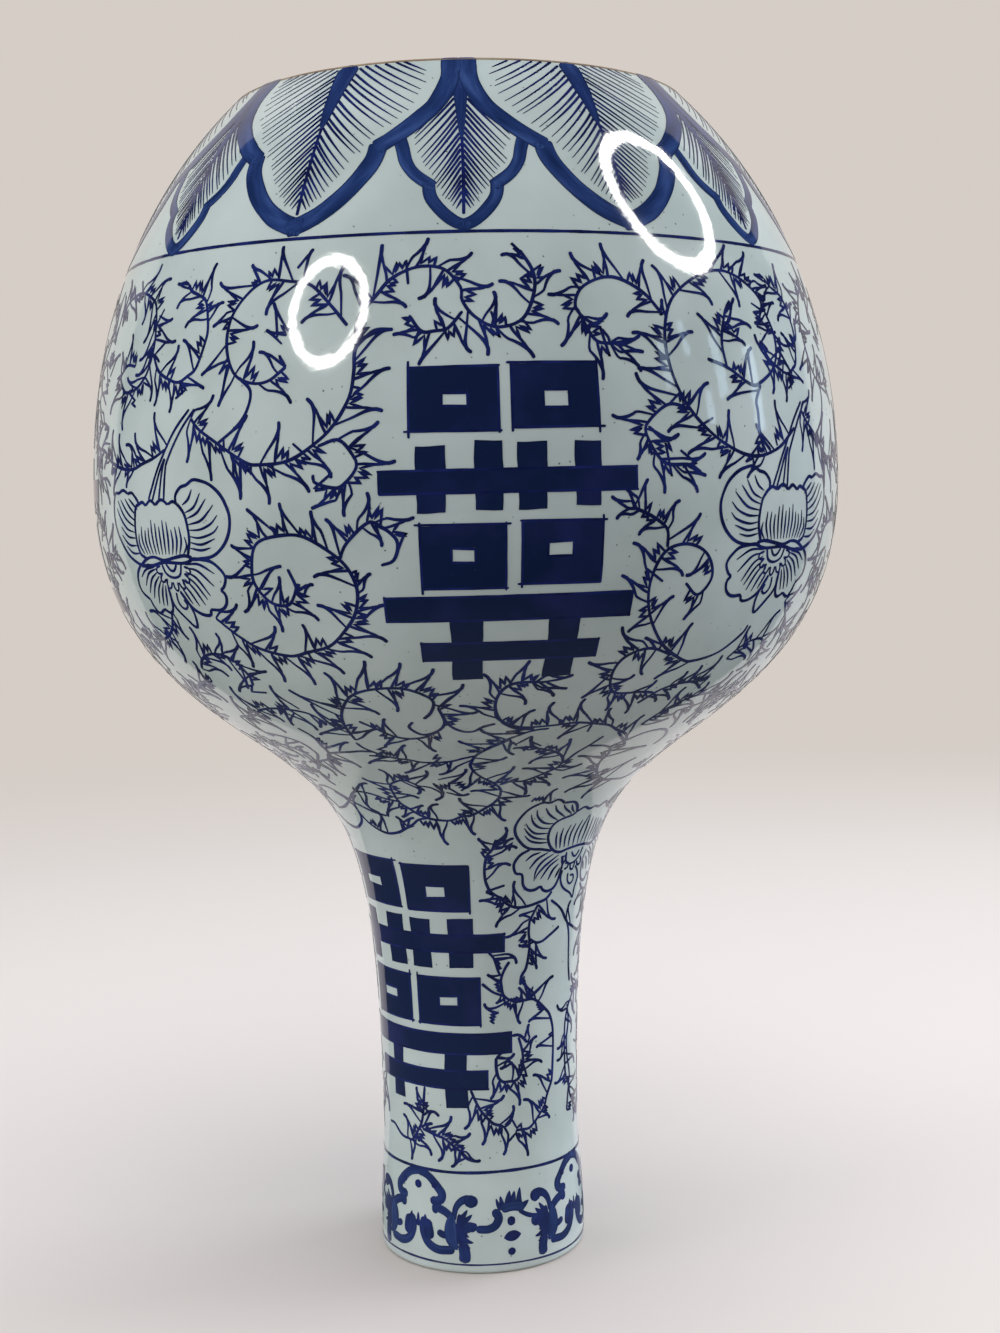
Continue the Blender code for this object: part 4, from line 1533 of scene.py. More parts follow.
# Leaves of the globe's front.
GLOBE_LEAVES: tuple[tuple[float, ...], ...] = (
    # round the top left ring and the long main vine
    (-11, 451, -11.3, 467, 0.3, -3), (-7.1, 458, -4.7, 469, -0.5, -2),
    (-2.5, 458, 1.4, 463, -1, -2), (-0.2, 451, 4.1, 451, -1.2, -2), (-3.4, 457, -5.9, 446, 1.8, 2),
    (-1.6, 436, -3.7, 446, 1.5, 1), (3.2, 437, 4.2, 448, -1.3, -2), (-0.3, 436, 0.9, 426, -1.2, -2),
    (1.1, 438, 3.1, 425, 1.3, 2), (4.9, 435, 9.1, 424, 0.8, 2), (8, 438, 12.7, 436, 1.4, 2),
    (9.2, 446, 5, 452, -1.2, -2), (9.7, 447, 13.6, 456, 1.5, 2), (9.1, 458, 5.5, 462, -1.5, -2),
    (-11.4, 447, -7.6, 443, 1, 3), (-5.5, 433, -9.3, 433, -0.5, -2),
    (-14.4, 428, -9.5, 435, 1.3, 2), (-3.7, 433, -5.9, 422, 0, -1), (-14.4, 415, -9.7, 421, 0.8, 2),
    (-16, 405, -10.7, 406, 1, 3), (-15.6, 396, -11.2, 402, -0.8, -2),
    (-14.4, 390, -9.1, 388, -1.2, -3), (-21.4, 391, -17.6, 383, 1.8, 1),
    (-15, 380, -16, 369, -0.8, -2), (-16.2, 378, -20.4, 372, 0.3, -2),
    (-28.8, 387, -26.6, 374, 1.5, 2), (-31.9, 388, -31.1, 376, 0.8, 2),
    (-25.1, 388, -20.7, 378, 1.2, 3), (-26.6, 389, -25, 403, -1, -2),
    (-19.1, 397, -20.9, 411, -1.5, -2), (-17.3, 444, -22.3, 439, -1.2, -2),
    (-17.5, 445, -16.5, 460, 1.2, 3), (-13.7, 448, -16.6, 456, -1.2, 0),
    (-23.2, 459, -21.7, 467, 0.4, 0), (-25.8, 458, -26.7, 469, 0.5, 2),
    (-29.6, 458, -31.7, 463, 0.5, 2), (-25, 454, -28, 443, -1.5, -2),
    (-24.7, 433, -27.7, 437, 0, -1), (-25, 435, -26.9, 447, 0, 0),
    (-31.7, 420, -29.6, 433, -1.5, -2), (-25, 422, -28.5, 429, -1.2, -2),
    (-27.9, 418, -23.3, 410, 1.5, 2),
    # round the ring left of the sign's lower half
    (-26.7, 362, -30.2, 372, -0.5, 3), (-23.5, 363, -25.1, 374, 0.5, 2),
    (-19.4, 360, -20.6, 371, 0.5, 2), (-16.5, 359, -18.6, 368, -0.8, -2),
    (-14.1, 364, -12.8, 377, -1.5, -2), (-11.5, 366, -6.9, 368, -0.5, -3),
    (-12.9, 365, -11.2, 358, 1.2, 2), (-36.8, 322, -36.3, 308, 1.5, 2),
    (-32.5, 316, -31.4, 301, 1.5, 2), (-27.9, 314, -25.8, 300, 1.2, 2),
    (-24.2, 315, -19.9, 306, 1.2, 2), (-20.7, 319, -14.7, 314, 1.2, 2),
    (-17.3, 325, -12, 321, 1.3, 3), (-15.9, 331, -11.4, 336, 0.6, 2), (-15, 341, -13, 348, 0.8, 2),
    (-16, 347, -21, 347, -1.2, -2), (-17, 329, -21.2, 336, -1, -2),
    (-24.2, 316, -24.2, 328, -0.8, -2), (-32.7, 318, -28.9, 327, -1.5, -1),
    (-39.1, 330, -34.5, 336, -1.2, -2), (-41.4, 312, -37.3, 318, -0.6, -2),
    (-38.8, 306, -34.1, 306, -0.6, -1), (-27.6, 337, -26.3, 347, -0.8, -1),
    (-30.2, 345, -25.8, 351, 0.8, -1), (-23.6, 340, -21.3, 344, 1, 1),
    (-25.9, 336, -21.5, 330, 1.2, 2), (-28.8, 337, -27.8, 325, 1, 2),
    (-30.8, 344, -33.4, 333, 1.5, 2), (-30.7, 350, -35.1, 347, 1, 1),
    (-30.5, 356, -33.4, 359, 0.5, 2),
    # round the rings below the sign
    (-21.9, 291, -23.2, 306, -1.5, -2), (-17.9, 299, -16, 312, -0.5, -2),
    (-13.6, 300, -10.6, 311, -1, -2), (-9.8, 298, -5.7, 308, -1.2, -3),
    (-14.4, 298, -13, 285, 1.5, 2), (-21.9, 289, -16.6, 283, 1.3, 2),
    (-24.4, 284, -31.6, 296, 0.5, -3), (-25.5, 270, -28.9, 288, 1.5, -1),
    (-33.4, 284, -35.2, 298, 1.5, 2), (-35.1, 283, -37.4, 273, -1, -1),
    (-25.9, 270, -32.5, 267, -1.2, -3), (-24.8, 266, -18.4, 273, 0.5, 2),
    (-16.4, 269, -16, 280, 1, 2), (-14.7, 266, -19, 259, -1, -2), (-9.8, 267, -8.1, 256, -1, 2),
    (-5.4, 292, -1.3, 300, -1.5, -1), (-4.9, 285, 0.9, 284, -1.2, -3), (4.1, 282, -2, 288, -1, -2),
    (4.1, 292, 1.9, 305, -1.2, -2), (6.9, 301, 8.8, 311, 0, -2), (10.4, 302, 16, 303, -1, 0),
    (10.1, 300, 15.6, 296, -0.5, 0), (10.1, 299, 13.7, 292, 1, 0), (5.5, 296, 9.1, 288, 2, 3),
    (8.1, 273, 11, 284, 1.5, 2), (15.8, 274, 14.1, 288, 2.2, 3), (21.3, 275, 19.6, 289, 1.8, 3),
    (28.2, 270, 25.8, 282, 1.2, 3), (21.6, 272, 17.9, 263, -0.8, -2), (7.8, 266, 1.6, 272, 1.5, 2),
    (11.8, 270, 6.6, 270, 0, 0), (3.8, 259, -2.8, 264, 1.2, 2), (14.1, 257, 12, 264, 0.8, 2),
    (34.2, 262, 35.1, 275, 1, 2),
    # right of the sign
    (18.7, 453, 15.4, 463, 1.2, 2), (21.6, 454, 20.2, 467, 0.5, 2), (16.2, 449, 11.6, 447, 0.6, 2),
    (15.2, 441, 12.9, 428, 1, 2), (16, 437, 19.7, 440, -1.5, -2), (19.9, 429, 24.2, 432, -0.8, 0),
    (19.9, 428, 24.5, 426, 0, 0), (20, 427, 23.9, 419, 1.3, 0), (16.8, 431, 18.3, 416, 1.2, 2),
    (25.8, 449, 26.7, 461, 1, 2), (30.1, 445, 28, 459, -1.3, -2), (28.3, 437, 28.6, 446, 0.3, 0),
    (26.6, 443, 22.7, 439, -1.2, -2), (28, 427, 23.2, 433, -1.5, -2), (28.6, 428, 33, 434, 1, 2),
    (28.6, 417, 23.5, 420, -0.6, -2), (28, 408, 23.1, 418, 2, 2), (31.4, 404, 34.6, 415, 1.5, 3),
    (24.2, 403, 19.3, 403, 1.2, 2), (32.1, 401, 27.4, 397, -1.2, -2),
    (24.2, 396, 29, 396, -1.8, -2), (23.8, 395, 22.6, 387, 0.5, 2), (28, 385, 33.3, 389, -1, 0),
    (28.6, 385, 33.3, 381, 0, 1), (28.9, 384, 31.9, 375, 1, 0), (25.1, 389, 26.6, 375, 1, 2),
    (35.9, 393, 30.5, 389, -1, -3), (39.4, 389, 35.7, 380, -0.8, -3),
    (44.6, 388, 41.1, 380, -0.5, -2), (37.9, 390, 38, 405, 0.5, 2), (45.8, 391, 43.4, 400, 0.6, 2),
    (40.5, 460, 43.7, 470, 0, -2), (44.6, 460, 48.2, 468, -1, -3), (47.5, 455, 51.9, 455, -0.8, -2),
    (33.3, 452, 37.6, 445, 1.8, 3), (42, 458, 43.4, 445, 1, 2), (39.1, 437, 42.4, 448, 0, -2),
    (39.7, 438, 45, 437, 1.5, 0), (38.6, 433, 43, 430, 1.2, 1), (38.1, 430, 34.4, 441, -0.5, -3),
    (42.6, 419, 44.2, 429, 1.5, 3), (49.8, 424, 45.6, 434, 2, 1), (42.8, 415, 37.9, 409, -0.3, -2),
    (49.4, 444, 52.8, 448, 0.8, 2), (49.6, 441, 46.2, 439, 0.8, 2), (50.3, 428, 53.6, 421, 0.8, 2),
    (22.5, 370, 18.9, 374, 0.6, 0), (22.5, 369, 19.6, 366, -1, 0), (22.8, 371, 20.9, 377, 0, 0),
    (23.1, 371, 24.1, 380, 0.5, -1), (27.3, 363, 29, 372, 1.5, 2), (28.9, 357, 32.5, 367, -0.5, -2),
    (26, 364, 22.9, 360, -1.2, -2), (25.3, 347, 22.2, 357, -1.5, -2),
    (25, 335, 20.9, 345, -0.8, -3), (26.2, 349, 30.5, 344, 1.5, 2), (26.5, 327, 29.6, 336, 0.8, 2),
    (26.5, 327, 23.3, 322, -0.8, -2), (27.3, 314, 22.2, 324, 2, 2), (30.8, 312, 26.5, 319, -0.3, 0),
    (33.1, 312, 34.4, 324, 0.8, 3), (34.8, 336, 32.4, 326, 0, -2), (34.2, 351, 31.1, 344, 1.5, 2),
    (22.7, 306, 18.1, 309, 0.8, 2), (28.2, 312, 28.5, 301, -1.5, -2),
    (22.7, 298, 27, 301, -1.5, -2), (22.4, 298, 18.9, 290, 0, 2), (29.9, 291, 32.2, 297, -0.8, 0),
    (31.6, 290, 35.1, 284, 1.2, 0), (27.9, 290, 29.8, 278, 1.2, 2), (24.2, 292, 24.9, 281, 0.8, 2),
    (36, 306, 31.5, 298, -0.4, -3),
    # between the left flower and the main vine
    (-39.5, 451, -38.8, 465, 0.8, 3), (-32.3, 452, -37.2, 457, 1.2, 2),
    (-38.2, 445, -35.8, 449, 1, 1), (-33.7, 445, -37.2, 440, 0, 1),
    (-33.7, 440, -29.2, 439, -1.2, -2), (-32.9, 422, -34.9, 410, 0, -1),
    (-34.3, 429, -38.4, 422, 0, 0), (-39.4, 426, -43, 436, -1, -2),
    (-38.7, 445, -43, 441, -1.6, -2), (-42.2, 454, -45.8, 449, -1.5, 0),
    (-44.5, 458, -47, 459, 0, -1), (-50.2, 445, -46.4, 445, -0.8, -2),
    (-49.7, 440, -44.8, 436, -1.2, -2), (-46.5, 424, -43.9, 434, -1.5, -1),
    (-48.3, 425, -48.3, 412, 1.5, 3), (-44.6, 421, -44.6, 409, 1, 2),
    (-42.7, 421, -37.8, 417, 0.5, -2), (-45.6, 395, -48.1, 409, 1.5, 2),
    (-40, 406, -35.9, 414, -1.5, -2), (-40, 405, -40.6, 390, 0.8, 3),
    (-37.4, 398, -36, 383, 0.5, 3), (-33.4, 392, -31.1, 376, 1.2, 2),
    (-33.4, 396, -30, 406, -0.5, -2),
)

# Vines left of the left flower, where the photograph shows them edge on.
GLOBE_FAR_LEFT_VINES: Strokes = (
    ((-45.3, 395), (-48, 392), (-51, 390), (-54, 388), (-58, 389), (-62, 392), (-65, 396),
     (-69, 398), (-73, 406), (-74, 416)),
    ((-64.7, 450), (-62.4, 456), (-57.5, 458), (-53, 454), (-51.3, 449), (-50.1, 437),
     (-50.7, 427), (-52.1, 422), (-54, 419), (-56.2, 418), (-58, 419), (-59.8, 424), (-59, 427),
     (-57.4, 429), (-55, 428)),
    ((-49.5, 332), (-51, 326), (-53, 322), (-56, 319), (-60, 318), (-64, 319), (-68, 326),
     (-69, 338), (-67, 350), (-63, 356)),
    ((-66, 268), (-64, 280), (-60, 290), (-55, 296), (-50, 298)),
    ((-75, 428), (-71, 434), (-68, 444), (-68, 452)),
)

# Vines between the globe and the neck; the set repeats on the vase's other side.
SHOULDER_VINES: Strokes = (
    ((0, 208), (-4.8, 207), (-8.4, 205), (-12.8, 205), (-16.8, 206), (-20, 208), (-23.2, 212),
     (-25.2, 215), (-25.8, 220), (-25.2, 227), (-23.2, 230), (-20, 232), (-17.6, 230), (-16, 227),
     (-16.6, 223)),
    ((-25.4, 216), (-29, 217), (-31.2, 218), (-34.4, 220), (-38.4, 221), (-42, 220), (-46, 216),
     (-50, 212), (-56, 208), (-62, 206)),
    ((-17.2, 206), (-20.8, 205), (-24, 202), (-28.4, 199), (-32, 197), (-37.6, 196), (-42.8, 198),
     (-46.8, 202), (-48, 208), (-46, 214), (-42.4, 218)),
    ((0.6, 252), (-2.4, 250), (-4.8, 248), (-8, 247), (-12, 247), (-15.2, 249), (-18, 250),
     (-20.8, 252), (-22.8, 255), (-24.4, 258), (-25.2, 262)),
    ((-22.8, 255), (-26, 255), (-28.8, 254), (-32, 253), (-36, 251), (-38.4, 246), (-42.8, 243),
     (-46.8, 237)),
    ((-37.6, 246), (-35.6, 252), (-35.4, 258), (-35.2, 265), (-37, 271)),
    ((-46.8, 237), (-43.4, 243), (-40.4, 249), (-40, 252), (-40.8, 258), (-44, 262), (-50, 264)),
    ((7.6, 264), (5, 260), (2.4, 256), (0.6, 252), (-0.4, 247), (-0.7, 244), (0.2, 239),
     (2.4, 234), (5.4, 230), (7.6, 226), (8.2, 223), (8, 219), (6.3, 215), (3.7, 212), (0.6, 209),
     (-2.4, 207)),
    ((5.4, 230), (8.9, 230), (12.4, 230), (14, 230), (16.7, 232), (20.2, 236), (22.3, 239),
     (22.8, 243), (21.9, 247), (20.6, 250), (18.4, 253), (15.8, 255), (13.6, 257), (12.4, 261),
     (12, 266)),
    ((22.8, 242), (24, 246), (24.9, 250), (27.1, 256), (28.8, 262)),
    ((31.9, 264), (34, 260), (36.2, 256), (38, 252)),
    ((50.1, 223), (44.9, 224), (41, 227), (38.4, 230), (36.2, 235), (35.1, 240), (35.3, 246),
     (34, 251), (31, 254), (27.1, 255)),
    ((50.1, 223), (55.7, 222), (61, 224), (66, 230), (68, 238), (65, 245), (59, 247)),
    ((36.5, 256), (41, 261), (47, 261), (51, 255), (51, 248)),
)

# Vines right of the neck's sign and below it; the set repeats on the vase's other side.
NECK_VINES: Strokes = (
    ((8.6, 194), (7.2, 189), (5, 186), (4, 180), (4.5, 174), (7, 169), (11.5, 166), (15, 163),
     (20, 161), (26, 161), (32, 162), (36.5, 163), (40, 166)),
    ((32, 161), (29.5, 157), (27.8, 154), (27.5, 149), (28.3, 144), (27.8, 138), (26.5, 133),
     (24, 130), (23.3, 126)),
    ((17, 137), (14.5, 134), (12.5, 130), (12.5, 127), (14, 122), (20, 119), (26, 119), (31, 119),
     (35, 117), (39, 114), (42.7, 111), (44.5, 108), (45.9, 104), (46.4, 99), (46.4, 94), (46, 88),
     (45.2, 81), (42.7, 77), (40.9, 74), (39.1, 70), (35.5, 67), (31.8, 64), (28.2, 62),
     (23.6, 62), (20, 62)),
    ((5.5, 142), (8.5, 139), (10.5, 134), (12, 131)),
    ((2, 128), (8, 124), (14, 122)),
    ((28.3, 146), (32, 144), (36, 144), (41, 146), (48, 149)),
    ((40, 162), (45, 159), (49, 156), (52.5, 152), (55.5, 149), (58, 143), (59, 136), (60, 129),
     (62, 122)),
    ((-5.4, 81), (-2.7, 76), (0, 72), (3.1, 69), (6.9, 66), (10.8, 65), (13.2, 64)),
    ((18.5, 104), (22.5, 104), (25.6, 102), (27.6, 100)),
    ((22.3, 103), (24.2, 98), (25, 94), (24.6, 90), (23.1, 86), (20.4, 84), (16.5, 84), (13.1, 84),
     (10.4, 86), (9.2, 90), (9.2, 95)),
    ((-33.2, 81), (-34.1, 75), (-34.8, 69), (-36.4, 64), (-39.5, 60), (-43.2, 56), (-46.8, 56),
     (-50, 56), (-54, 57), (-60, 60), (-66, 60)),
    ((-35.6, 62), (-30.5, 61), (-25.9, 60), (-21.4, 59), (-17.7, 57), (-14, 55), (-12.3, 54)),
    ((60, 112), (62, 104), (60, 96), (61, 88), (64, 80), (62, 72), (60, 64)),
)

# Leaves of the shoulder, in the same way.
SHOULDER_LEAVES: tuple[tuple[float, ...], ...] = (
    (-44, 260, -48.3, 254, -0.8, 0), (-33.5, 254, -27.2, 262, 0.8, 3),
    (-35, 250, -30, 241, 1.2, -2), (-40, 246, -38.5, 233, -1.2, 2),
    (-43.2, 244, -47.8, 236, 0.5, -2), (-17.5, 250, -26.3, 245, -1.4, -3),
    (-16.6, 250, -14.3, 261, 1.2, 3), (-11.8, 247, -18, 238, 0.8, -3),
    (-3.5, 248, -8.8, 237, 1.6, -3), (0.3, 248, 7.7, 250, -1.8, -2),
    (-8.5, 231, -1.8, 241, -1.8, -3), (0.6, 236, -3, 226, 1.4, 3), (-13, 230, -12, 218, 4, 3),
    (8, 222, -0.8, 224, -1, -2), (-8, 225, -1.6, 222, -1.8, 0), (-16.5, 232, -12.1, 240, -1.8, 3),
    (-24.4, 228, -24.8, 240, -2, -3), (-25.3, 226, -32.8, 232, 0.8, 3),
    (-25.2, 220, -17.9, 219, 1.5, 3), (-18.6, 231, -17.3, 222, 2.4, 2),
    (-38.4, 221, -33, 228, 1.5, 2), (-39.2, 197, -37.2, 208, -1, 2),
    (-38.6, 220, -37.6, 208, -3.2, 0), (-25.8, 215, -33.4, 206, -1.3, -3),
    (-27.8, 200, -30, 206, -0.8, 0), (-22.8, 211, -27.3, 206, 0.5, -2),
    (-28.4, 200, -22.6, 206, 0.8, -1), (-14.8, 206, -12.2, 215, 2.6, 3),
    (-21.5, 210, -17.2, 214, 0.6, 0), (3.5, 211, -4.6, 219, 2, 3),
    (-11.8, 205, -11.1, 192, -1.8, -3), (-1.5, 207, 0.2, 197, -1.5, -3),
    (7.3, 214, 11.5, 204, -1.5, -3), (8.2, 221, 18, 219, -0.9, -2), (12.5, 230, 16.2, 220, 1.3, 2),
    (16.5, 231, 23.2, 225, 1.3, 2), (20.8, 236, 12.7, 240, -0.8, -2),
    (22.3, 237, 29.2, 240, -0.8, 2), (20.2, 251, 13.9, 244, -1.8, -3),
    (20.7, 251, 20.9, 262, -0.6, 3), (13.8, 256, 8.8, 257, -0.6, 0), (7, 264, 9.2, 252, -1.5, 2),
    (5.3, 232, 10.2, 242, -1.5, -3), (34.8, 240, 26.3, 247, -1, -2),
    (37.2, 231, 26.4, 230, -1.2, -2), (40.5, 224, 30.6, 219, -1.2, -3),
    (45, 222, 40.2, 213, -1.2, -2), (35.3, 246, 47.6, 248, 0.8, 3), (44, 229, 50, 238, 0.8, 2),
    (25.4, 213, 26.8, 222, 1.5, 3),
)

# Leaves of the neck, in the same way.
NECK_LEAVES: tuple[tuple[float, ...], ...] = (
    # where the neck opens into the shoulder
    (8.4, 190, 12, 200, -1.8, -2), (7.2, 190, 1.3, 195, 0.6, 2), (9, 189, 15.8, 194, 0.8, 0),
    (9, 188, 17.8, 189, 1.5, 0), (4.6, 177, 15.5, 181, 2.2, 3), (12.8, 164, 1.5, 165, -0.6, -3),
    (22.5, 161, 18.3, 173, 1.3, 3), (19.5, 161, 9.7, 153, -1.2, -3),
    (28.6, 157, 21.6, 157, -0.3, 0), (27.9, 154, 14.7, 148, 0.9, 3), (28.2, 144, 22, 144, 0.8, 0),
    (34.6, 162, 44.3, 153, -2, -3), (28.8, 144, 39.7, 136, -1.2, -2),
    (30.2, 140, 33.3, 132, 0.2, 0), (33.5, 119, 45.4, 127, 1.2, 3), (31.8, 119, 25.6, 128, 0.8, 0),
    (26.5, 119, 22.3, 125, -0.4, 3), (12.2, 140, 20.9, 136, 1.8, -2), (14, 122, 9.4, 119, 0.4, 0),
    (12, 130, 5, 132, 0.5, 3),
    # right of the sign's lower half
    (12, 116, 3.2, 119, 1.6, 3), (22.8, 118, 23.5, 109, -1.3, -3), (38.5, 111, 28.6, 109, -0.8, -3),
    (27.6, 100, 28.8, 108, 0.5, 0), (26.6, 95, 34, 102, 1.2, 0), (24.5, 90, 37.6, 90, 1.5, 2),
    (41, 98, 33.6, 97, -0.5, -1), (9.3, 93, 19.7, 96, -1, 1), (17, 93, 11.3, 90, 0.6, 0),
    (21, 84, 15.8, 93, -1.5, -2), (9.3, 87, 5.8, 77, 0.9, 3), (16.5, 84, 22.5, 73, 1.3, 3),
    (-0.5, 75, 13.3, 78, -1.6, -3), (12.8, 64, 18.7, 73, -1.3, -3), (13, 64, 12.5, 52, 1.2, 3),
    (2.2, 70, 0.6, 57, 1.2, 3), (21.5, 61, 27.1, 50, 0.8, 3), (33.8, 66, 25.3, 75, -2, -3),
    (41.5, 79, 31.5, 85, -1.2, -2), (36, 67, 43, 64, 1.2, 2),
    # below the sign
    (-35.6, 72, -39, 80, 0.6, 2), (-35.9, 67, -49.8, 71, -1.2, -2), (-34.9, 66, -24.8, 69, 2.6, 3),
    (-36.5, 61, -28.8, 65, 0.6, -1), (-28.5, 61, -17, 69, -1.6, -3),
    (-18.5, 59, -6.3, 62, -1.3, -2), (-25.2, 60, -25, 49, 2.2, 3), (-13.5, 54, -17.3, 47, 1.3, 2),
    (-11.5, 54, -1, 50, -1.4, -2), (-41, 56, -29.8, 51, 1.8, 2), (-42.8, 56, -44, 47, 0.3, 1),
    (-44.8, 56, -50.3, 66, -1.6, -2), (-4.4, 77, -9.2, 64, 1.6, 3),
)

# Vines beside and behind the shoulder's front, whose leaves are grown along them.
SHOULDER_FREE_VINES: Strokes = (
    ((97.6, 247), (102, 252), (107, 251), (110, 245), (107, 239), (103, 240)),
    ((110, 245), (115, 241), (121, 243), (124, 250), (120, 256), (116, 253)),
    ((103, 233), (108, 229), (114, 230), (119, 235), (125, 236), (131, 232)),
    ((124, 250), (129, 255), (134, 252), (136, 245), (132, 241)),
    ((63, 258), (66, 251), (70, 246), (75, 246), (77, 251), (74, 256)),
    ((64, 226), (67, 232), (71, 235), (75, 232), (76, 226)),
)


@dataclass(frozen=True)
class HornLeaf:
    """A leaf of two strokes that meet in a claw, with a comb of small strokes beside it.

    The bend is how far the claw bulges to the left of the way from foot to tip, in
    millimetres. The comb has that many spikes, and is on the right where it is negative.
    The bulge makes the curve's furthest place as far off as the bend says, and the horn's two
    edges are closed at that share of its length.
    """

    foot: Spot
    tip: Spot
    bend: float
    comb: int
    bulge: float = 27.0 / 4.0
    closed: float = 0.82

    def strokes(self, work: Brushwork,
                root: Callable[[Spot, Spot], Spot]) -> list[tuple[list[Spot], Brush]]:
        """Strokes of the leaf.

        Args:
            work: Piece that takes them, for its outline and its unsteady hand.
            root: Finds the place on a vine where a stroke near it begins.

        Returns:
            Paths on the chart and their brushes: back, front and comb.
        """
        outline, rng = work.outline, work.rng
        middle = (self.foot[1] + self.tip[1]) / 2.0
        across = (self.tip[0] - self.foot[0]) * math.radians(float(outline.radius_mm(middle)))
        along = self.tip[1] - self.foot[1]
        length = math.hypot(across, along)
        x, y = across / length, along / length
        half = min(2.6, 0.6 + 0.14 * length)

        def at(share: float, aside: float) -> Spot:
            """Find a chart spot of the leaf.

            Args:
                share: Share of the way to the tip.
                aside: Millimetres to the left.

            Returns:
                The spot.
            """
            aside += self.bend * self.bulge * share * share * (1.0 - share)
            forward = share * length
            return outline.step(self.foot, x * forward - y * aside, y * forward + x * aside)

        def edge(share: float, side: int) -> Spot:
            """Chart spot on one edge of the horn."""
            return at(share, side * half * max(0.0, 1.0 - share / self.closed) ** 1.1)

        def rooted(side: int) -> Spot:
            """Where the stroke along one edge leaves the vine."""
            lean = -side * half * 1.1 / self.closed / length + self.bend * 2.0 / length
            return root(edge(0.0, side), (x - y * lean, y + x * lean))

        side = -1 if self.comb < 0 else 1
        back = [rooted(-side)]
        back += [edge(share, -side) for share in (0.25, 0.42, 0.6, 0.8, 0.92, 1.03)]
        front = [rooted(side)] + [edge(share, side) for share in (0.27, 0.42, 0.6, 0.8)]
        found = [(back, Brush(1.45, Tip.LEAF, tremor=0.06)), (front, Brush(1.1, tremor=0.12))]
        if self.comb:
            spike = min(6.4, 0.46 * length)
            gap = min(1.9, 0.6 + 0.1 * length)
            comb = [edge(min(0.6, 0.1 + spike / length), side)]
            for i in range(abs(self.comb)):
                low = root(at(0.0, side * (half + gap * (i + 0.45))), (x, y))
                tall = spike * (1.0 - 0.15 * i) * rng.uniform(0.9, 1.1)
                lift = min(1.3, 0.1 * length)
                lean = side * (0.14 * tall + 0.5 * gap)
                comb.append(outline.step(low, x * lift, y * lift))
                comb.append(outline.step(low, x * tall - y * lean, y * tall + x * lean))
            comb.append(root(at(0.0, side * (half + gap * (abs(self.comb) + 0.6))), (x, y)))
            found.append((comb, Brush(1.05, tremor=0.12)))
        return found


@dataclass
class ClearGround:
    """Remembers where the painting already lies, so that leaves keep clear of it."""

    outline: VaseOutline
    cell: float = 0.0030

    def __post_init__(self) -> None:
        """Start with nothing painted."""
        self.taken: dict[tuple[int, int, int], list[tuple[Vector, int]]] = {}
        self.fences: list[Callable[[Spot], bool]] = []

    def _key(self, place: Vector) -> tuple[int, int, int]:
        """Cell that a place lies in."""
        return tuple(int(math.floor(value / self.cell)) for value in place)

    def spots(self, path: Floats) -> list[Vector]:
        """Places on the surface of chart spots."""
        places, _ = self.outline.place(path[:, 0], path[:, 1], np.zeros(len(path)))
        return [Vector(place) for place in places]

    def claim(self, path: Floats, owner: int) -> None:
        """Mark a stroke's ground as taken."""
        for place in self.spots(path):
            self.taken.setdefault(self._key(place), []).append((place, owner))

    def free(self, path: Floats, owner: int, clearance: float) -> bool:
        """Tell whether a stroke keeps clear of all others and of the fenced motifs.

        Args:
            path: Rows of angle and distance.
            owner: Strokes of this owner don't count.
            clearance: Least distance in metres.

        Returns:
            True where the stroke fits.
        """
        for angle, distance in path:
            if any(fence((angle, distance)) for fence in self.fences):
                return False
        reach = int(math.ceil(clearance / self.cell))
        span = range(-reach, reach + 1)
        for place in self.spots(path):
            i, j, k = self._key(place)
            for di in span:
                for dj in span:
                    for dk in span:
                        for other, who in self.taken.get((i + di, j + dj, k + dk), ()):
                            if who != owner and (other - place).length < clearance:
                                return False
        return True


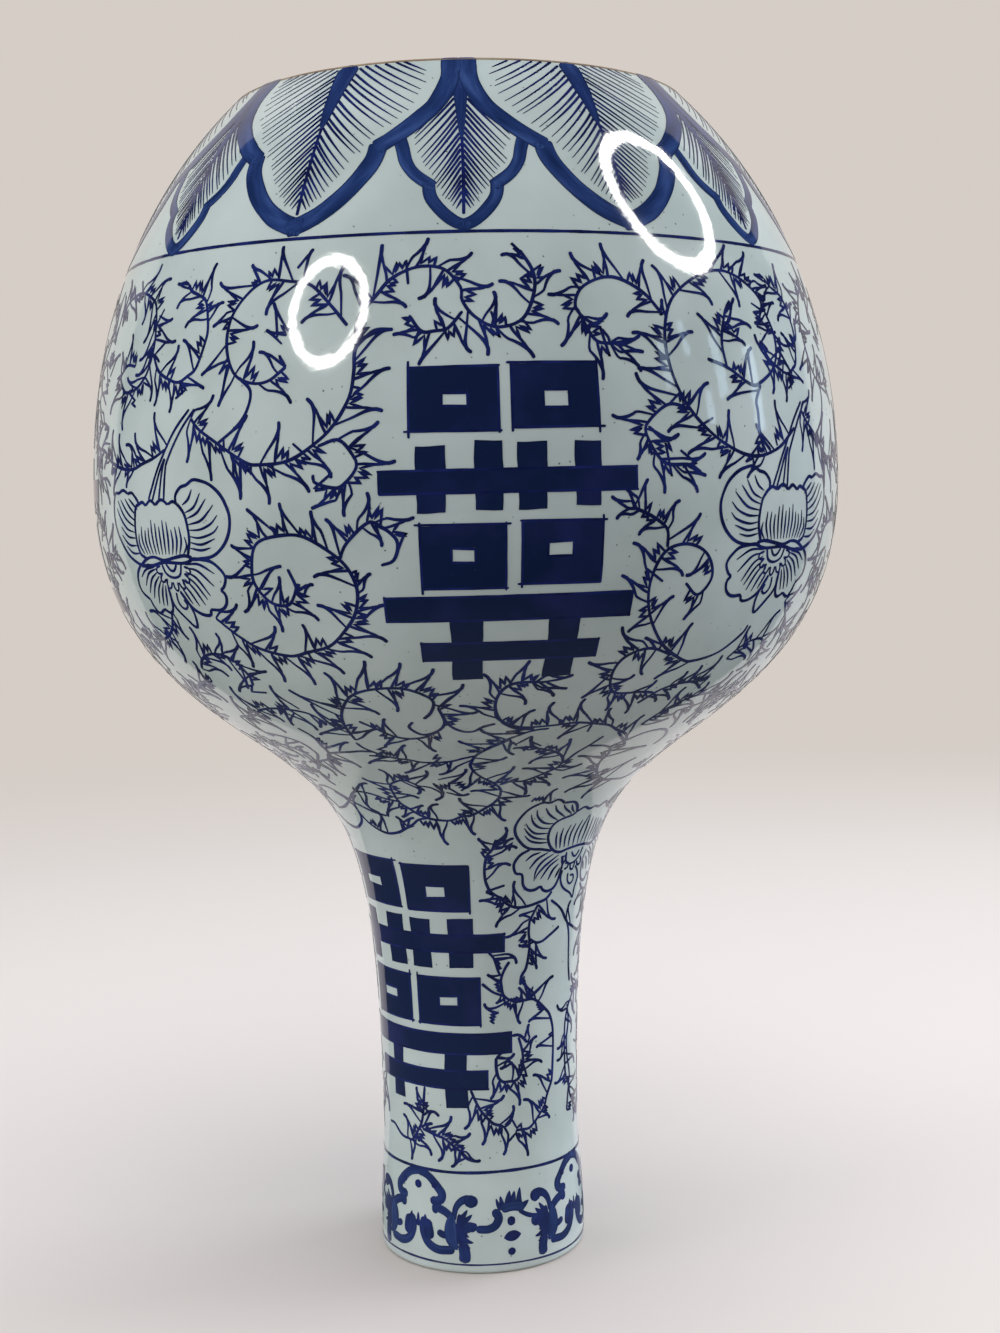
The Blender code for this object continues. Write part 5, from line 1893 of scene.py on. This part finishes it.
@dataclass
class ScrollVines:
    """Scrolling vines with their horn-shaped leaves."""

    outline: VaseOutline
    ground: ClearGround
    leaf_length: float
    vine_brush: Brush = Brush(1.3, tremor=0.14)
    leaf_gap: float = 9.0
    sizes: tuple[float, ...] = (1.0, 0.8, 0.62)
    lean: float = 60.0
    reach: float = 5.0
    leaf_room: float = 0.0021
    comb_room: float = 0.0012
    lifts: tuple[float, ...] = (0.00001, 0.000005, 0.000015)

    def __post_init__(self) -> None:
        """Start without any vine."""
        self.grown = np.empty((0, 2))

    def root(self, spot: Spot, way: Spot) -> Spot:
        """Find where a stroke begins on a vine.

        Args:
            spot: Place near the vine.
            way: The stroke's way from there to its tip: millimetres right and up.

        Returns:
            The vine's spot that lies best in line with the stroke, or the given spot itself
            where no vine is within reach.
        """
        if not len(self.grown):
            return spot
        degree = math.radians(float(self.outline.radius_mm(spot[1])))
        right = (self.grown[:, 0] - spot[0]) * degree
        up = self.grown[:, 1] - spot[1]
        length = math.hypot(*way)
        along = (right * way[0] + up * way[1]) / length
        aside = np.abs(right * way[1] - up * way[0]) / length
        cost = np.abs(along) + 3.0 * aside + np.where(np.hypot(right, up) > self.reach, 99.0, 0.0)
        best = int(np.argmin(cost))
        if cost[best] > 90.0:
            return spot
        return (float(self.grown[best, 0]), float(self.grown[best, 1]))

    def put_vine(self, work: Brushwork, vine: Sequence[Spot], owner: int) -> Floats:
        """Paint one vine.

        Args:
            work: Piece that takes it.
            vine: Its spots, from root to tip.
            owner: Its number.

        Returns:
            The points along it.
        """
        line = work.smooth(vine)
        work.stroke(vine, self.vine_brush)
        self.ground.claim(line, owner)
        self.grown = np.vstack([self.grown, line])
        return line

    def put_leaf(self, work: Brushwork, leaf: HornLeaf, owner: int, sure: bool = False) -> bool:
        """Paint one leaf, if there is room.

        Args:
            work: Piece that takes the leaf.
            leaf: The leaf.
            owner: Number of its vine.
            sure: True where the leaf is painted without looking for room.

        Returns:
            True where the leaf was painted.
        """
        strokes = leaf.strokes(work, self.root)
        axis = strokes[0][0][2:]
        if not sure and not self.ground.free(work.smooth(axis), -1, self.leaf_room):
            return False
        claimed = []
        for k, (path, brush) in enumerate(strokes):
            line = work.smooth(path, k < 2)
            if k == 2 and not sure and not self.ground.free(line[3:-3], owner, self.comb_room):
                continue
            work.stroke(path, brush, k < 2, layer=self.lifts[k])
            claimed.append(line)
        for line in claimed:
            self.ground.claim(line, owner)
        return True

    def leaf(self, work: Brushwork, line: Floats, at: int, side: int, size: float,
             owner: int) -> bool:
        """Grow one leaf from a vine, if there is room.

        Args:
            work: Piece that takes the leaf.
            line: Points of the vine.
            at: Index of the leaf's foot on the vine.
            side: 1 for the left of the vine's way, -1 for the right.
            size: Share of the full leaf.
            owner: Number of the vine.

        Returns:
            True where the leaf was painted.
        """
        rng = work.rng
        foot = tuple(line[at])
        ahead = line[min(at + 2, len(line) - 1)] - line[max(at - 2, 0)]
        degree = math.radians(float(self.outline.radius_mm(foot[1])))
        heading = math.atan2(ahead[1], ahead[0] * degree)
        length = self.leaf_length * size * rng.uniform(0.88, 1.14)
        way = heading + side * math.radians(self.lean + rng.uniform(-14.0, 14.0))
        tip = self.outline.step(foot, math.cos(way) * length, math.sin(way) * length)
        bend = rng.choice((-1.0, 1.0, 1.0)) * -side * rng.uniform(1.0, 2.4) * size
        leaf = HornLeaf(foot, tip, bend, -side * (rng.choice((2, 2, 3)) if size > 0.7 else 1))
        return self.put_leaf(work, leaf, owner)

    def follow(self, work: Brushwork, vines: Paths, leaves: Sequence[HornLeaf],
               first_owner: int) -> None:
        """Paint vines with leaves whose places are given.

        Args:
            work: Piece that takes them.
            vines: Spots of each vine.
            leaves: Their leaves.
            first_owner: Number of the first vine.
        """
        for owner, vine in enumerate(vines, first_owner):
            self.put_vine(work, vine, owner)
        for leaf in leaves:
            self.put_leaf(work, leaf, first_owner, sure=True)

    def grow(self, work: Brushwork, vines: Paths, first_owner: int) -> None:
        """Paint vines, and then their leaves where there is room.

        Args:
            work: Piece that takes them.
            vines: Spots of each vine, from root to tip.
            first_owner: Number of the first vine.
        """
        lines = [self.put_vine(work, vine, owner) for owner, vine in enumerate(vines, first_owner)]
        painted = 0
        for owner, line in enumerate(lines, first_owner):
            length = (len(line) - 1) * work.spacing
            at, side = 2.5, work.rng.choice((-1, 1))
            while at < length - 1.0:
                index = int(at / work.spacing)
                tries = [(size, way) for size in self.sizes for way in (side, -side)]
                grown = next((way for size, way in tries
                              if self.leaf(work, line, index, way, size, owner)), 0)
                side = -grown or side
                painted += abs(grown)
                at += self.leaf_gap * (0.62 if grown else 0.3) * work.rng.uniform(0.85, 1.15)
            self.leaf(work, line, len(line) - 1, work.rng.choice((-1, 1)), self.sizes[1], owner)
        log.info("%s: %d leaves", work.name, painted)


def carried(vines: Iterable[Sequence[Spot]], move: Callable[[Spot], Spot]) -> Paths:
    """Vines with every spot moved."""
    return [[move(spot) for spot in vine] for vine in vines]


def horn_leaves(rows: Iterable[Sequence[float]], move: Callable[[Spot], Spot],
                way: int = 1) -> list[HornLeaf]:
    """Make the leaves of a table.

    Args:
        rows: Foot, tip, bend and comb of each leaf.
        move: Moves a chart spot.
        way: -1 where the move mirrors the leaves.

    Returns:
        The leaves, with their spots moved.
    """
    return [HornLeaf(move((a, b)), move((c, d)), way * bend, way * int(comb))
            for a, b, c, d, bend, comb in rows]


@dataclass
class PaintedField:
    """All that lies between the lines: signs, flowers and scroll vines.

    Petals are the half width, half height and level of the rounds that hold a flower's upper
    and lower petals, in millimetres from its middle. A mirror is the sum of the angles on its
    two sides, the greatest angle of what it mirrors, and the stretch of distances it takes.
    """

    outline: VaseOutline
    cobalt: bpy.types.Material
    sign: float = 5.5
    left_flower: float = -46.7
    right_flower: float = 49.5
    flower_distance: float = 354.0
    neck_flower: Spot = (52.5, 186.0)
    neck_flower_size: Spot = (0.88, 0.95)
    stem: tuple[Spot, ...] = ((-1.0, 376.0), (0.4, 387.0), (1.3, 391.6), (4.0, 401.8),
                              (6.8, 409.5))
    petals: tuple[Place, Place] = ((43.0, 22.5, 8.0), (32.5, 20.0, -6.0))
    last_cell_end: float = 345.0
    shoulder_mirrors: tuple[tuple[float, ...], ...] = ((60.0, 4.0, 232.0, 275.0),
                                                       (84.0, 1.0, 190.0, 232.0))
    shoulder_left: float = -26.0
    neck_mirror: float = 104.0
    neck_filler: Spot = (-10.0, 50.0)
    long_leaf: float = 14.0
    short_leaf: float = 11.0
    line_fences: Place = (40.0, 46.5, 469.5)
    owner: int = 0

    def __post_init__(self) -> None:
        """Start with clear ground."""
        self.ground = ClearGround(self.outline)

    def back_cell(self) -> float:
        """Angle from flower to flower round the back, where three cells share what is left."""
        return (360.0 - (self.right_flower - self.left_flower)) / 3.0

    def cells(self) -> list[Spot]:
        """Find the four globe cells, each from flower to flower.

        Returns:
            Middle and width share of each.
        """
        back, front = self.back_cell(), self.right_flower - self.left_flower
        return [((self.right_flower + self.left_flower) / 2.0, 1.0)] + [
            (self.right_flower + back * (k + 0.5), back / front) for k in range(3)]

    def fence_signs(self, signs: JoySigns) -> None:
        """Keep leaves off the signs and the lines.

        Args:
            signs: The signs.
        """
        def near_sign(spot: Spot) -> bool:
            """Tell whether a spot lies on a sign or close to it.

            Args:
                spot: Chart spot.

            Returns:
                True where it does.
            """
            for middles, shape, margin, pad in ((signs.globe_middles, GLOBE_SIGN, 0.8, 1.8),
                                                (signs.neck_middles, NECK_SIGN, 2.0, 1.4)):
                for middle in middles:
                    angle = (spot[0] - middle + 180.0) % 360.0 - 180.0
                    fields = shape.bars + tuple(square for square, _ in shape.squares)
                    for left, right, low, high in fields:
                        if left - margin < angle < right + margin \
                                and low - pad < spot[1] < high + pad:
                            return True
            return False

        self.ground.fences.append(near_sign)
        low, high, top = self.line_fences
        self.ground.fences.append(lambda spot: low < spot[1] < high or spot[1] > top)

    def fence_flower(self, middle: Spot, size: Spot = (1.0, 1.0)) -> None:
        """Keep leaves off a flower.

        Args:
            middle: Chart spot of the flower's middle.
            size: Its width and height, as shares of a globe flower's.
        """
        def near_flower(spot: Spot) -> bool:
            """Tell whether a spot lies on the flower.

            Args:
                spot: Chart spot.

            Returns:
                True where it lies in one of the rounds of petals.
            """
            angle = (spot[0] - middle[0] + 180.0) % 360.0 - 180.0
            x = angle * math.radians(float(self.outline.radius_mm(spot[1]))) / size[0]
            y = (spot[1] - middle[1]) / size[1]
            return any((x / wide) ** 2 + ((y - level) / tall) ** 2 < 1.0
                       for wide, tall, level in self.petals)

        self.ground.fences.append(near_flower)

    def paint_flowers(self) -> None:
        """Paint four lotus flowers on the globe and two on the neck."""
        work = Brushwork(self.outline, "lotus_flowers", 53, spacing=1.1)
        angles = [self.left_flower]
        angles += [self.right_flower + k * self.back_cell() for k in range(3)]
        for k, angle in enumerate(angles):
            middle = (angle, self.flower_distance + (0.0 if k == 0 else 1.0))
            stem = [(angle + beside, distance) for beside, distance in self.stem]
            LotusFlower(self.outline, middle, mirrored=bool(k % 2)).paint(work, stem)
            self.fence_flower(middle)
            self.ground.claim(work.smooth(stem), -2)
        for turn in HALVES:
            middle = (self.neck_flower[0] + turn, self.neck_flower[1])
            BroadLotus(middle[0]).paint(work)
            self.fence_flower(middle, self.neck_flower_size)
        work.finish(self.cobalt)

    def paint_vines(self, name: str, seed: int, placed: Paths, leaves: list[HornLeaf],
                    free: Paths, leaf_length: float) -> None:
        """Paint one piece of scroll work.

        Args:
            name: Name of the piece.
            seed: Seed of its unsteady hand.
            placed: Vines whose leaves are given.
            leaves: Their leaves.
            free: Vines whose leaves are grown where there is room.
            leaf_length: Length of those leaves in millimetres.
        """
        work = Brushwork(self.outline, name, seed)
        scroll = ScrollVines(self.outline, self.ground, leaf_length)
        scroll.follow(work, placed, leaves, self.owner)
        scroll.grow(work, free, self.owner + len(placed))
        self.owner += len(placed) + len(free)
        work.finish(self.cobalt)

    def paint_globe(self) -> None:
        """Paint the globe's vines: those of the front cell, and the same in the other three."""
        cells = self.cells()
        for k, (middle, share) in enumerate(cells):
            def moved(spot: Spot) -> Spot:
                """Chart spot of the front cell, carried over to this one."""
                return (middle + (spot[0] - cells[0][0]) * share, spot[1])

            vines = carried(GLOBE_VINES, moved)
            free = carried(GLOBE_FREE_VINES, moved)
            leaves = horn_leaves(GLOBE_LEAVES, moved)
            if k == len(cells) - 1:
                limit = self.left_flower + self.last_cell_end
                vines = [vine for vine in vines if max(spot[0] for spot in vine) < limit]
                free = [vine for vine in free if max(spot[0] for spot in vine) < limit]
                leaves = [leaf for leaf in leaves if max(leaf.foot[0], leaf.tip[0]) < limit]
                free += carried(GLOBE_FAR_LEFT_VINES, lambda spot: (spot[0] + 360.0, spot[1]))
            self.paint_vines(f"globe_vines_{k + 1}", 61 + k, vines, leaves, free, self.long_leaf)

    def paint_shoulder(self) -> None:
        """Paint the shoulder's vines: those of the front, some mirrored, in two halves."""
        for k, turn in enumerate(HALVES):
            def turned(spot: Spot) -> Spot:
                """Chart spot on this half."""
                return (spot[0] + turn, spot[1])

            vines = carried(SHOULDER_VINES, turned)
            leaves = horn_leaves(SHOULDER_LEAVES, turned)
            for about, right, low, high in self.shoulder_mirrors:
                def mirrored(spot: Spot) -> Spot:
                    """Chart spot on the other side of a mirror line."""
                    return (about - spot[0] + turn, spot[1])

                vines += carried([vine for vine in SHOULDER_VINES
                                  if vine[0][0] > self.shoulder_left
                                  and max(spot[0] for spot in vine) < right
                                  and low < min(spot[1] for spot in vine) + 2.0
                                  and max(spot[1] for spot in vine) < high], mirrored)
                leaves += horn_leaves([row for row in SHOULDER_LEAVES
                                       if row[0] > self.shoulder_left - 1.0
                                       and max(row[0], row[2]) < right
                                       and low < row[1] < high], mirrored, -1)
            self.paint_vines(f"shoulder_vines_{k + 1}", 71 + k, vines, leaves,
                             carried(SHOULDER_FREE_VINES, turned), self.short_leaf)

    def paint_neck(self) -> None:
        """Paint the neck's vines: those of the front, and some mirrored, in two halves."""
        left, right = self.neck_filler
        filler = [vine for vine in NECK_VINES
                  if left < min(spot[0] for spot in vine) and max(spot[0] for spot in vine) < right]
        for k, turn in enumerate(HALVES):
            def turned(spot: Spot) -> Spot:
                """Chart spot on this half."""
                return (spot[0] + turn, spot[1])

            def mirrored(spot: Spot) -> Spot:
                """Chart spot on the other side of the mirror line."""
                return (self.neck_mirror - spot[0] + turn, spot[1])

            self.paint_vines(f"neck_vines_{k + 1}", 81 + k, carried(NECK_VINES, turned),
                             horn_leaves(NECK_LEAVES, turned), carried(filler, mirrored),
                             self.short_leaf)

    def paint(self) -> None:
        """Paint the field: signs, flowers, and then the vines round them."""
        cells = self.cells()
        shift = self.sign - cells[0][0]
        signs = JoySigns(self.outline, tuple(middle + shift * share for middle, share in cells))
        signs.paint(self.cobalt)
        self.fence_signs(signs)
        self.paint_flowers()
        self.paint_globe()
        self.paint_shoulder()
        self.paint_neck()


# Studio

@dataclass(frozen=True)
class SoftLamp:
    """A rectangular soft lamp: place and size in metres, power in watts, tint of its light.

    It faces its target, or the vase's middle where it has none, and its beam is as wide as the
    spread in degrees.
    """

    name: str
    place: Place
    size: Spot
    power: float
    tint: str = "#ffffff"
    target: Place | None = None
    spread: float = 180.0


@dataclass(frozen=True)
class RingHighlight:
    """A glowing ring that only the glaze shows, a painted ring highlight that lights nothing:
    place, target and radius in metres.
    """

    name: str
    place: Place
    target: Place
    radius: float


@dataclass
class Studio:
    """Pale floor, soft lamps and the camera, at the photograph's viewing angle."""

    camera_pitch: float = 5.289
    camera_yaw: float = 0.898
    camera_roll: float = -1.184
    camera_place: Place = (0.0, -0.8193, 0.3346)
    focal_pixels: float = 1859.3
    image_height: float = 1333.0
    sensor: float = 36.0
    floor_colour: str = "#dbcfc6"
    floor_bounce: str = "#a29b95"
    backdrop: str = "#d5cdc6"
    room_light: str = "#dde6f2"
    # Tint of the painted dark reflection, a dim glowing sheet that only the glaze shows.
    dark_reflection_tint: str = "#8d9499"
    floor_size: float = 8.0
    floor_fade: Spot = (0.35, 1.8)
    room_strength: Spot = (0.70, 1.3)
    # Shape and glow of that painted dark reflection.
    dark_reflection_turn: float = 250.0
    dark_reflection_profile: tuple[Spot, ...] = ((0.05, 0.004), (1.40, 0.004), (1.70, 0.25), (1.75, 1.50),
                                       (1.30, 2.10), (0.60, 2.40), (0.00, 2.45), (-0.60, 2.42),
                                       (-1.20, 2.20))
    dark_reflection_fade: Spot = (0.1, 0.6)
    dark_reflection_strength: Spot = (0.6, 0.1)
    aim_share: float = 0.62
    soft_lamps: tuple[SoftLamp, ...] = (
        SoftLamp("top_lamp", (0.3, -0.4, 2.2), (1.8, 1.8), 20.0),
        SoftLamp("left_lamp", (-2.1, -0.7, 0.4), (1.3, 0.8), 21.0, "#fbfdff"),
        SoftLamp("right_lamp", (2.0, 0.8, 0.5), (1.3, 0.8), 36.0, "#e2edff"),
        SoftLamp("neck_lamp", (0.35, -1.3, 0.08), (0.5, 0.16), 0.09, target=(0.0, 0.0, 0.02),
                 spread=18.0))
    # Glowing rings that only the glaze shows: painted ring highlights, which light nothing.
    ring_highlights: tuple[RingHighlight, ...] = (
        RingHighlight("left_ring_highlight", (-0.71, -0.797, 0.989), (-0.048, -0.144, 0.402), 0.240),
        RingHighlight("right_ring_highlight", (0.641, -0.078, 1.006), (0.074, -0.115, 0.444), 0.235))
    ring_width: float = 0.045
    ring_highlight_tint: str = "#fffdf8"
    ring_highlight_strength: float = 30.0
    # Glowing slits that only the glaze shows: a painted reflection of a curtained window, which
    # lights nothing.
    window_x: float = 1.02
    window_target: Place = (0.086, -0.132, 0.375)
    window_reflection_tint: str = "#c9e4ff"
    window_reflection_strength: float = 3.5
    painted_window_reflection: tuple[tuple[float, ...], ...] = (
        (-0.60, 0.66, 0.84, 0.060), (-0.42, 0.74, 0.86, 0.045), (-0.22, 0.57, 0.76, 0.065),
        (-0.33, 0.50, 0.60, 0.050), (0.02, 0.46, 0.68, 0.075))

    def add_camera(self) -> None:
        """Add the camera."""
        data = bpy.data.cameras.new("camera")
        data.sensor_width = self.sensor
        data.lens = self.focal_pixels * self.sensor / self.image_height
        data.clip_start = 0.01
        camera = bpy.data.objects.new("camera", data)
        turn = Matrix.Rotation(math.radians(-self.camera_yaw), 4, "Z")
        tilt = Matrix.Rotation(math.radians(90.0 - self.camera_pitch), 4, "X")
        roll = Matrix.Rotation(math.radians(self.camera_roll), 4, "Z")
        camera.matrix_world = Matrix.Translation(self.camera_place) @ turn @ tilt @ roll
        bpy.context.scene.collection.objects.link(camera)
        bpy.context.scene.camera = camera

    def seen_ray(self, tree: bpy.types.NodeTree) -> bpy.types.NodeSocket:
        """Find the rays that show a backdrop, straight or in a reflection.

        Args:
            tree: Node tree of the material or the world.

        Returns:
            A value of 1 for them.
        """
        path = add_node(tree, "ShaderNodeLightPath")
        seen = path.outputs["Is Camera Ray"]
        for ray in ("Is Glossy Ray", "Is Transmission Ray"):
            seen = add_node(tree, "ShaderNodeMath", {"operation": "MAXIMUM"},
                            links={0: seen, 1: path.outputs[ray]}).outputs[0]
        return seen

    def fade(self, tree: bpy.types.NodeTree, reach: Spot, values: Spot) -> bpy.types.NodeSocket:
        """Add a value that changes with the distance from the middle of the floor.

        Args:
            tree: Node tree of the material.
            reach: Distances in metres between which it changes.
            values: The value at each.

        Returns:
            The value.
        """
        place = add_node(tree, "ShaderNodeTexCoord").outputs["Object"]
        away = add_node(tree, "ShaderNodeVectorMath", {"operation": "LENGTH"}, links={0: place})
        return add_node(tree, "ShaderNodeMapRange", {"interpolation_type": "SMOOTHSTEP"},
                        links={"Value": away.outputs["Value"]},
                        values={"From Min": reach[0], "From Max": reach[1],
                                "To Min": values[0], "To Max": values[1]}).outputs[0]

    def add_floor(self) -> None:
        """Add the floor: plain, matt and pale, running out into the backdrop's colour."""
        bm = bmesh.new()
        bmesh.ops.create_grid(bm, x_segments=1, y_segments=1, size=self.floor_size / 2.0)
        material, cloth = new_material("pale_floor_cloth", {"Roughness": 0.9,
                                                            "Specular IOR Level": 0.1})
        tree = material.node_tree
        seen = self.seen_ray(tree)
        colour = add_node(tree, "ShaderNodeMix", {"data_type": "RGBA"}, links={"Factor": seen},
                          values={6: linear(self.floor_bounce), 7: linear(self.floor_colour)})
        tree.links.new(colour.outputs[2], cloth.inputs["Base Color"])
        share = add_node(tree, "ShaderNodeMath", {"operation": "MULTIPLY"},
                         links={0: self.fade(tree, self.floor_fade, (0.0, 1.0)), 1: seen})
        backdrop = add_node(tree, "ShaderNodeEmission",
                            values={"Color": linear(self.backdrop), "Strength": 1.0})
        mix = add_node(tree, "ShaderNodeMixShader",
                       links={0: share.outputs[0], 1: cloth.outputs[0], 2: backdrop.outputs[0]})
        output = next(node for node in tree.nodes if node.type == "OUTPUT_MATERIAL")
        tree.links.new(mix.outputs[0], output.inputs["Surface"])
        new_object("floor", bm, material)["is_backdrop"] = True

    def add_world(self) -> None:
        """Add the room: soft light, weaker from behind the camera, and a pale backdrop."""
        world = bpy.data.worlds.new("room")
        bpy.context.scene.world = world
        world.use_nodes = True
        tree = world.node_tree
        tree.nodes.clear()
        way = add_node(tree, "ShaderNodeTexCoord").outputs["Generated"]
        axes = add_node(tree, "ShaderNodeSeparateXYZ", links={0: way})
        ahead = add_node(tree, "ShaderNodeMapRange", links={"Value": axes.outputs["Y"]},
                         values={"From Min": -0.8, "From Max": 0.5,
                                 "To Min": self.room_strength[0], "To Max": self.room_strength[1]})
        room = add_node(tree, "ShaderNodeBackground", links={"Strength": ahead.outputs[0]},
                        values={"Color": linear(self.room_light)})
        seen = add_node(tree, "ShaderNodeBackground",
                        values={"Color": linear(self.backdrop), "Strength": 1.0})
        mix = add_node(tree, "ShaderNodeMixShader",
                       links={0: self.seen_ray(tree), 1: room.outputs[0], 2: seen.outputs[0]})
        add_node(tree, "ShaderNodeOutputWorld", links={"Surface": mix.outputs[0]})

    def add_mirrored(self, name: str, shape: bmesh.types.BMesh,
                     material: bpy.types.Material) -> None:
        """Add a glowing shape that shows only in the glaze, a painted reflection or highlight, and
        neither lights nor shades the vase.

        Args:
            name: Its name.
            shape: Its mesh, which is used up.
            material: Its finish.
        """
        screen = new_object(name, shape, material)
        screen.visible_camera = False
        screen.visible_diffuse = False
        screen.visible_shadow = False
        screen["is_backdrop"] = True

    def add_painted_dark_reflection(self) -> None:
        """Add a painted dark reflection: a dim glowing sheet round and over the camera, for the
        room's dim side, which only the glaze shows.
        """
        bm = bmesh.new()
        start = math.radians(-self.dark_reflection_turn / 2.0)
        verts = [bm.verts.new((math.sin(start) * r, -math.cos(start) * r, z))
                 for r, z in self.dark_reflection_profile]
        edges = [bm.edges.new(pair) for pair in zip(verts, verts[1:])]
        bmesh.ops.spin(bm, geom=verts + edges, cent=(0.0, 0.0, 0.0), axis=(0.0, 0.0, 1.0),
                       angle=math.radians(self.dark_reflection_turn), steps=24)
        material, glow = new_glow("painted_dark_reflection_glow", self.dark_reflection_tint)
        tree = material.node_tree
        tree.links.new(self.fade(tree, self.dark_reflection_fade, self.dark_reflection_strength),
                       glow.inputs["Strength"])
        self.add_mirrored("painted_dark_reflection", bm, material)

    def add_soft_lamp(self, lamp: SoftLamp, middle: Vector) -> None:
        """Add a soft lamp.

        Args:
            lamp: The lamp.
            middle: The vase's middle.
        """
        data = bpy.data.lights.new(lamp.name, "AREA")
        data.shape = "RECTANGLE"
        data.size, data.size_y = lamp.size
        data.energy = lamp.power
        data.color = linear(lamp.tint)[:3]
        data.spread = math.radians(lamp.spread)
        light = bpy.data.objects.new(lamp.name, data)
        light.visible_glossy = False
        light.location = lamp.place
        target = Vector(lamp.target) if lamp.target else middle
        light.rotation_euler = (target - light.location).to_track_quat("-Z", "Y").to_euler()
        bpy.context.scene.collection.objects.link(light)

    def facing(self, place: Place, target: Place) -> Matrix:
        """Matrix that puts a flat shape at a place, its face to its target."""
        way = Vector(target) - Vector(place)
        return Matrix.Translation(place) @ way.to_track_quat("Z", "Y").to_matrix().to_4x4()

    def add_ring_highlight(self, lamp: RingHighlight) -> None:
        """Add a glowing ring that only the glaze shows: a painted highlight, which lights nothing.

        Args:
            lamp: The glowing ring of the painted highlight.
        """
        bm = bmesh.new()
        rings = [bmesh.ops.create_circle(bm, cap_ends=False, segments=64, radius=radius)["verts"]
                 for radius in (lamp.radius, lamp.radius - self.ring_width)]
        edges = {edge for vert in rings[0] + rings[1] for edge in vert.link_edges}
        bmesh.ops.bridge_loops(bm, edges=list(edges))
        bmesh.ops.transform(bm, matrix=self.facing(lamp.place, lamp.target), verts=bm.verts)
        self.add_mirrored(lamp.name, bm, new_glow(lamp.name + "_glow", self.ring_highlight_tint,
                                                  self.ring_highlight_strength)[0])

    def add_window(self) -> None:
        """Add a painted reflection of the bright slits between a window's curtains: glowing shapes
        that only the glaze shows, which light nothing.
        """
        bm = bmesh.new()
        for y, low, high, width in self.painted_window_reflection:
            stand = self.facing((self.window_x, y, (low + high) / 2.0), self.window_target)
            size = Matrix.Diagonal((width / 2.0, (high - low) / 2.0, 1.0, 1.0))
            bmesh.ops.create_grid(bm, x_segments=2, y_segments=6, size=1.0, matrix=stand @ size)
        self.add_mirrored("painted_window_reflection", bm, new_glow("painted_window_reflection_glow", self.window_reflection_tint,
                                                       self.window_reflection_strength)[0])

    def build(self, height: float) -> None:
        """Set up the whole studio.

        Args:
            height: Height of the vase in metres.
        """
        scene = bpy.context.scene
        scene.view_settings.view_transform = "Standard"
        self.add_camera()
        self.add_floor()
        self.add_world()
        # A painted dark reflection: a dim glowing sheet that only the glaze shows.
        self.add_painted_dark_reflection()
        for lamp in self.soft_lamps:
            self.add_soft_lamp(lamp, Vector((0.0, 0.0, height * self.aim_share)))
        # Painted ring highlights: glowing rings that only the glaze shows.
        for lamp in self.ring_highlights:
            self.add_ring_highlight(lamp)
        # A painted reflection of a window: glowing slits that only the glaze shows.
        self.add_window()
        log.info("studio: %d soft lamps, %d ring lamps", len(self.soft_lamps),
                 len(self.ring_highlights))


def report_size() -> None:
    """Put the CAD box and the visual model's box side by side as plain numbers; they are not
    written anywhere.
    """
    boxes = {"cad": CAD_BOX, "visual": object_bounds()}
    plain = {name: [[float(value) for value in corner] for corner in box]
             for name, box in boxes.items()}


def main() -> None:
    """Build the vase, its painting and the studio."""
    low, high = CAD_BOX
    outline = VaseOutline(height=high[2], globe_radius=(high[0] - low[0]) / 2.0)
    ripple = Ripple()
    glaze = CeladonGlaze().make(ripple)
    cobalt = CobaltPainting().make(ripple)
    bare = BareFoot().make()
    PorcelainBody(outline).build(glaze, bare)
    Lines(outline).paint(cobalt)
    LeafCollar(outline).paint(cobalt)
    MouthBorder(outline).paint(cobalt)
    PaintedField(outline, cobalt).paint()
    Studio().build(outline.height)
    report_size()


if __name__ == "__main__":
    main()
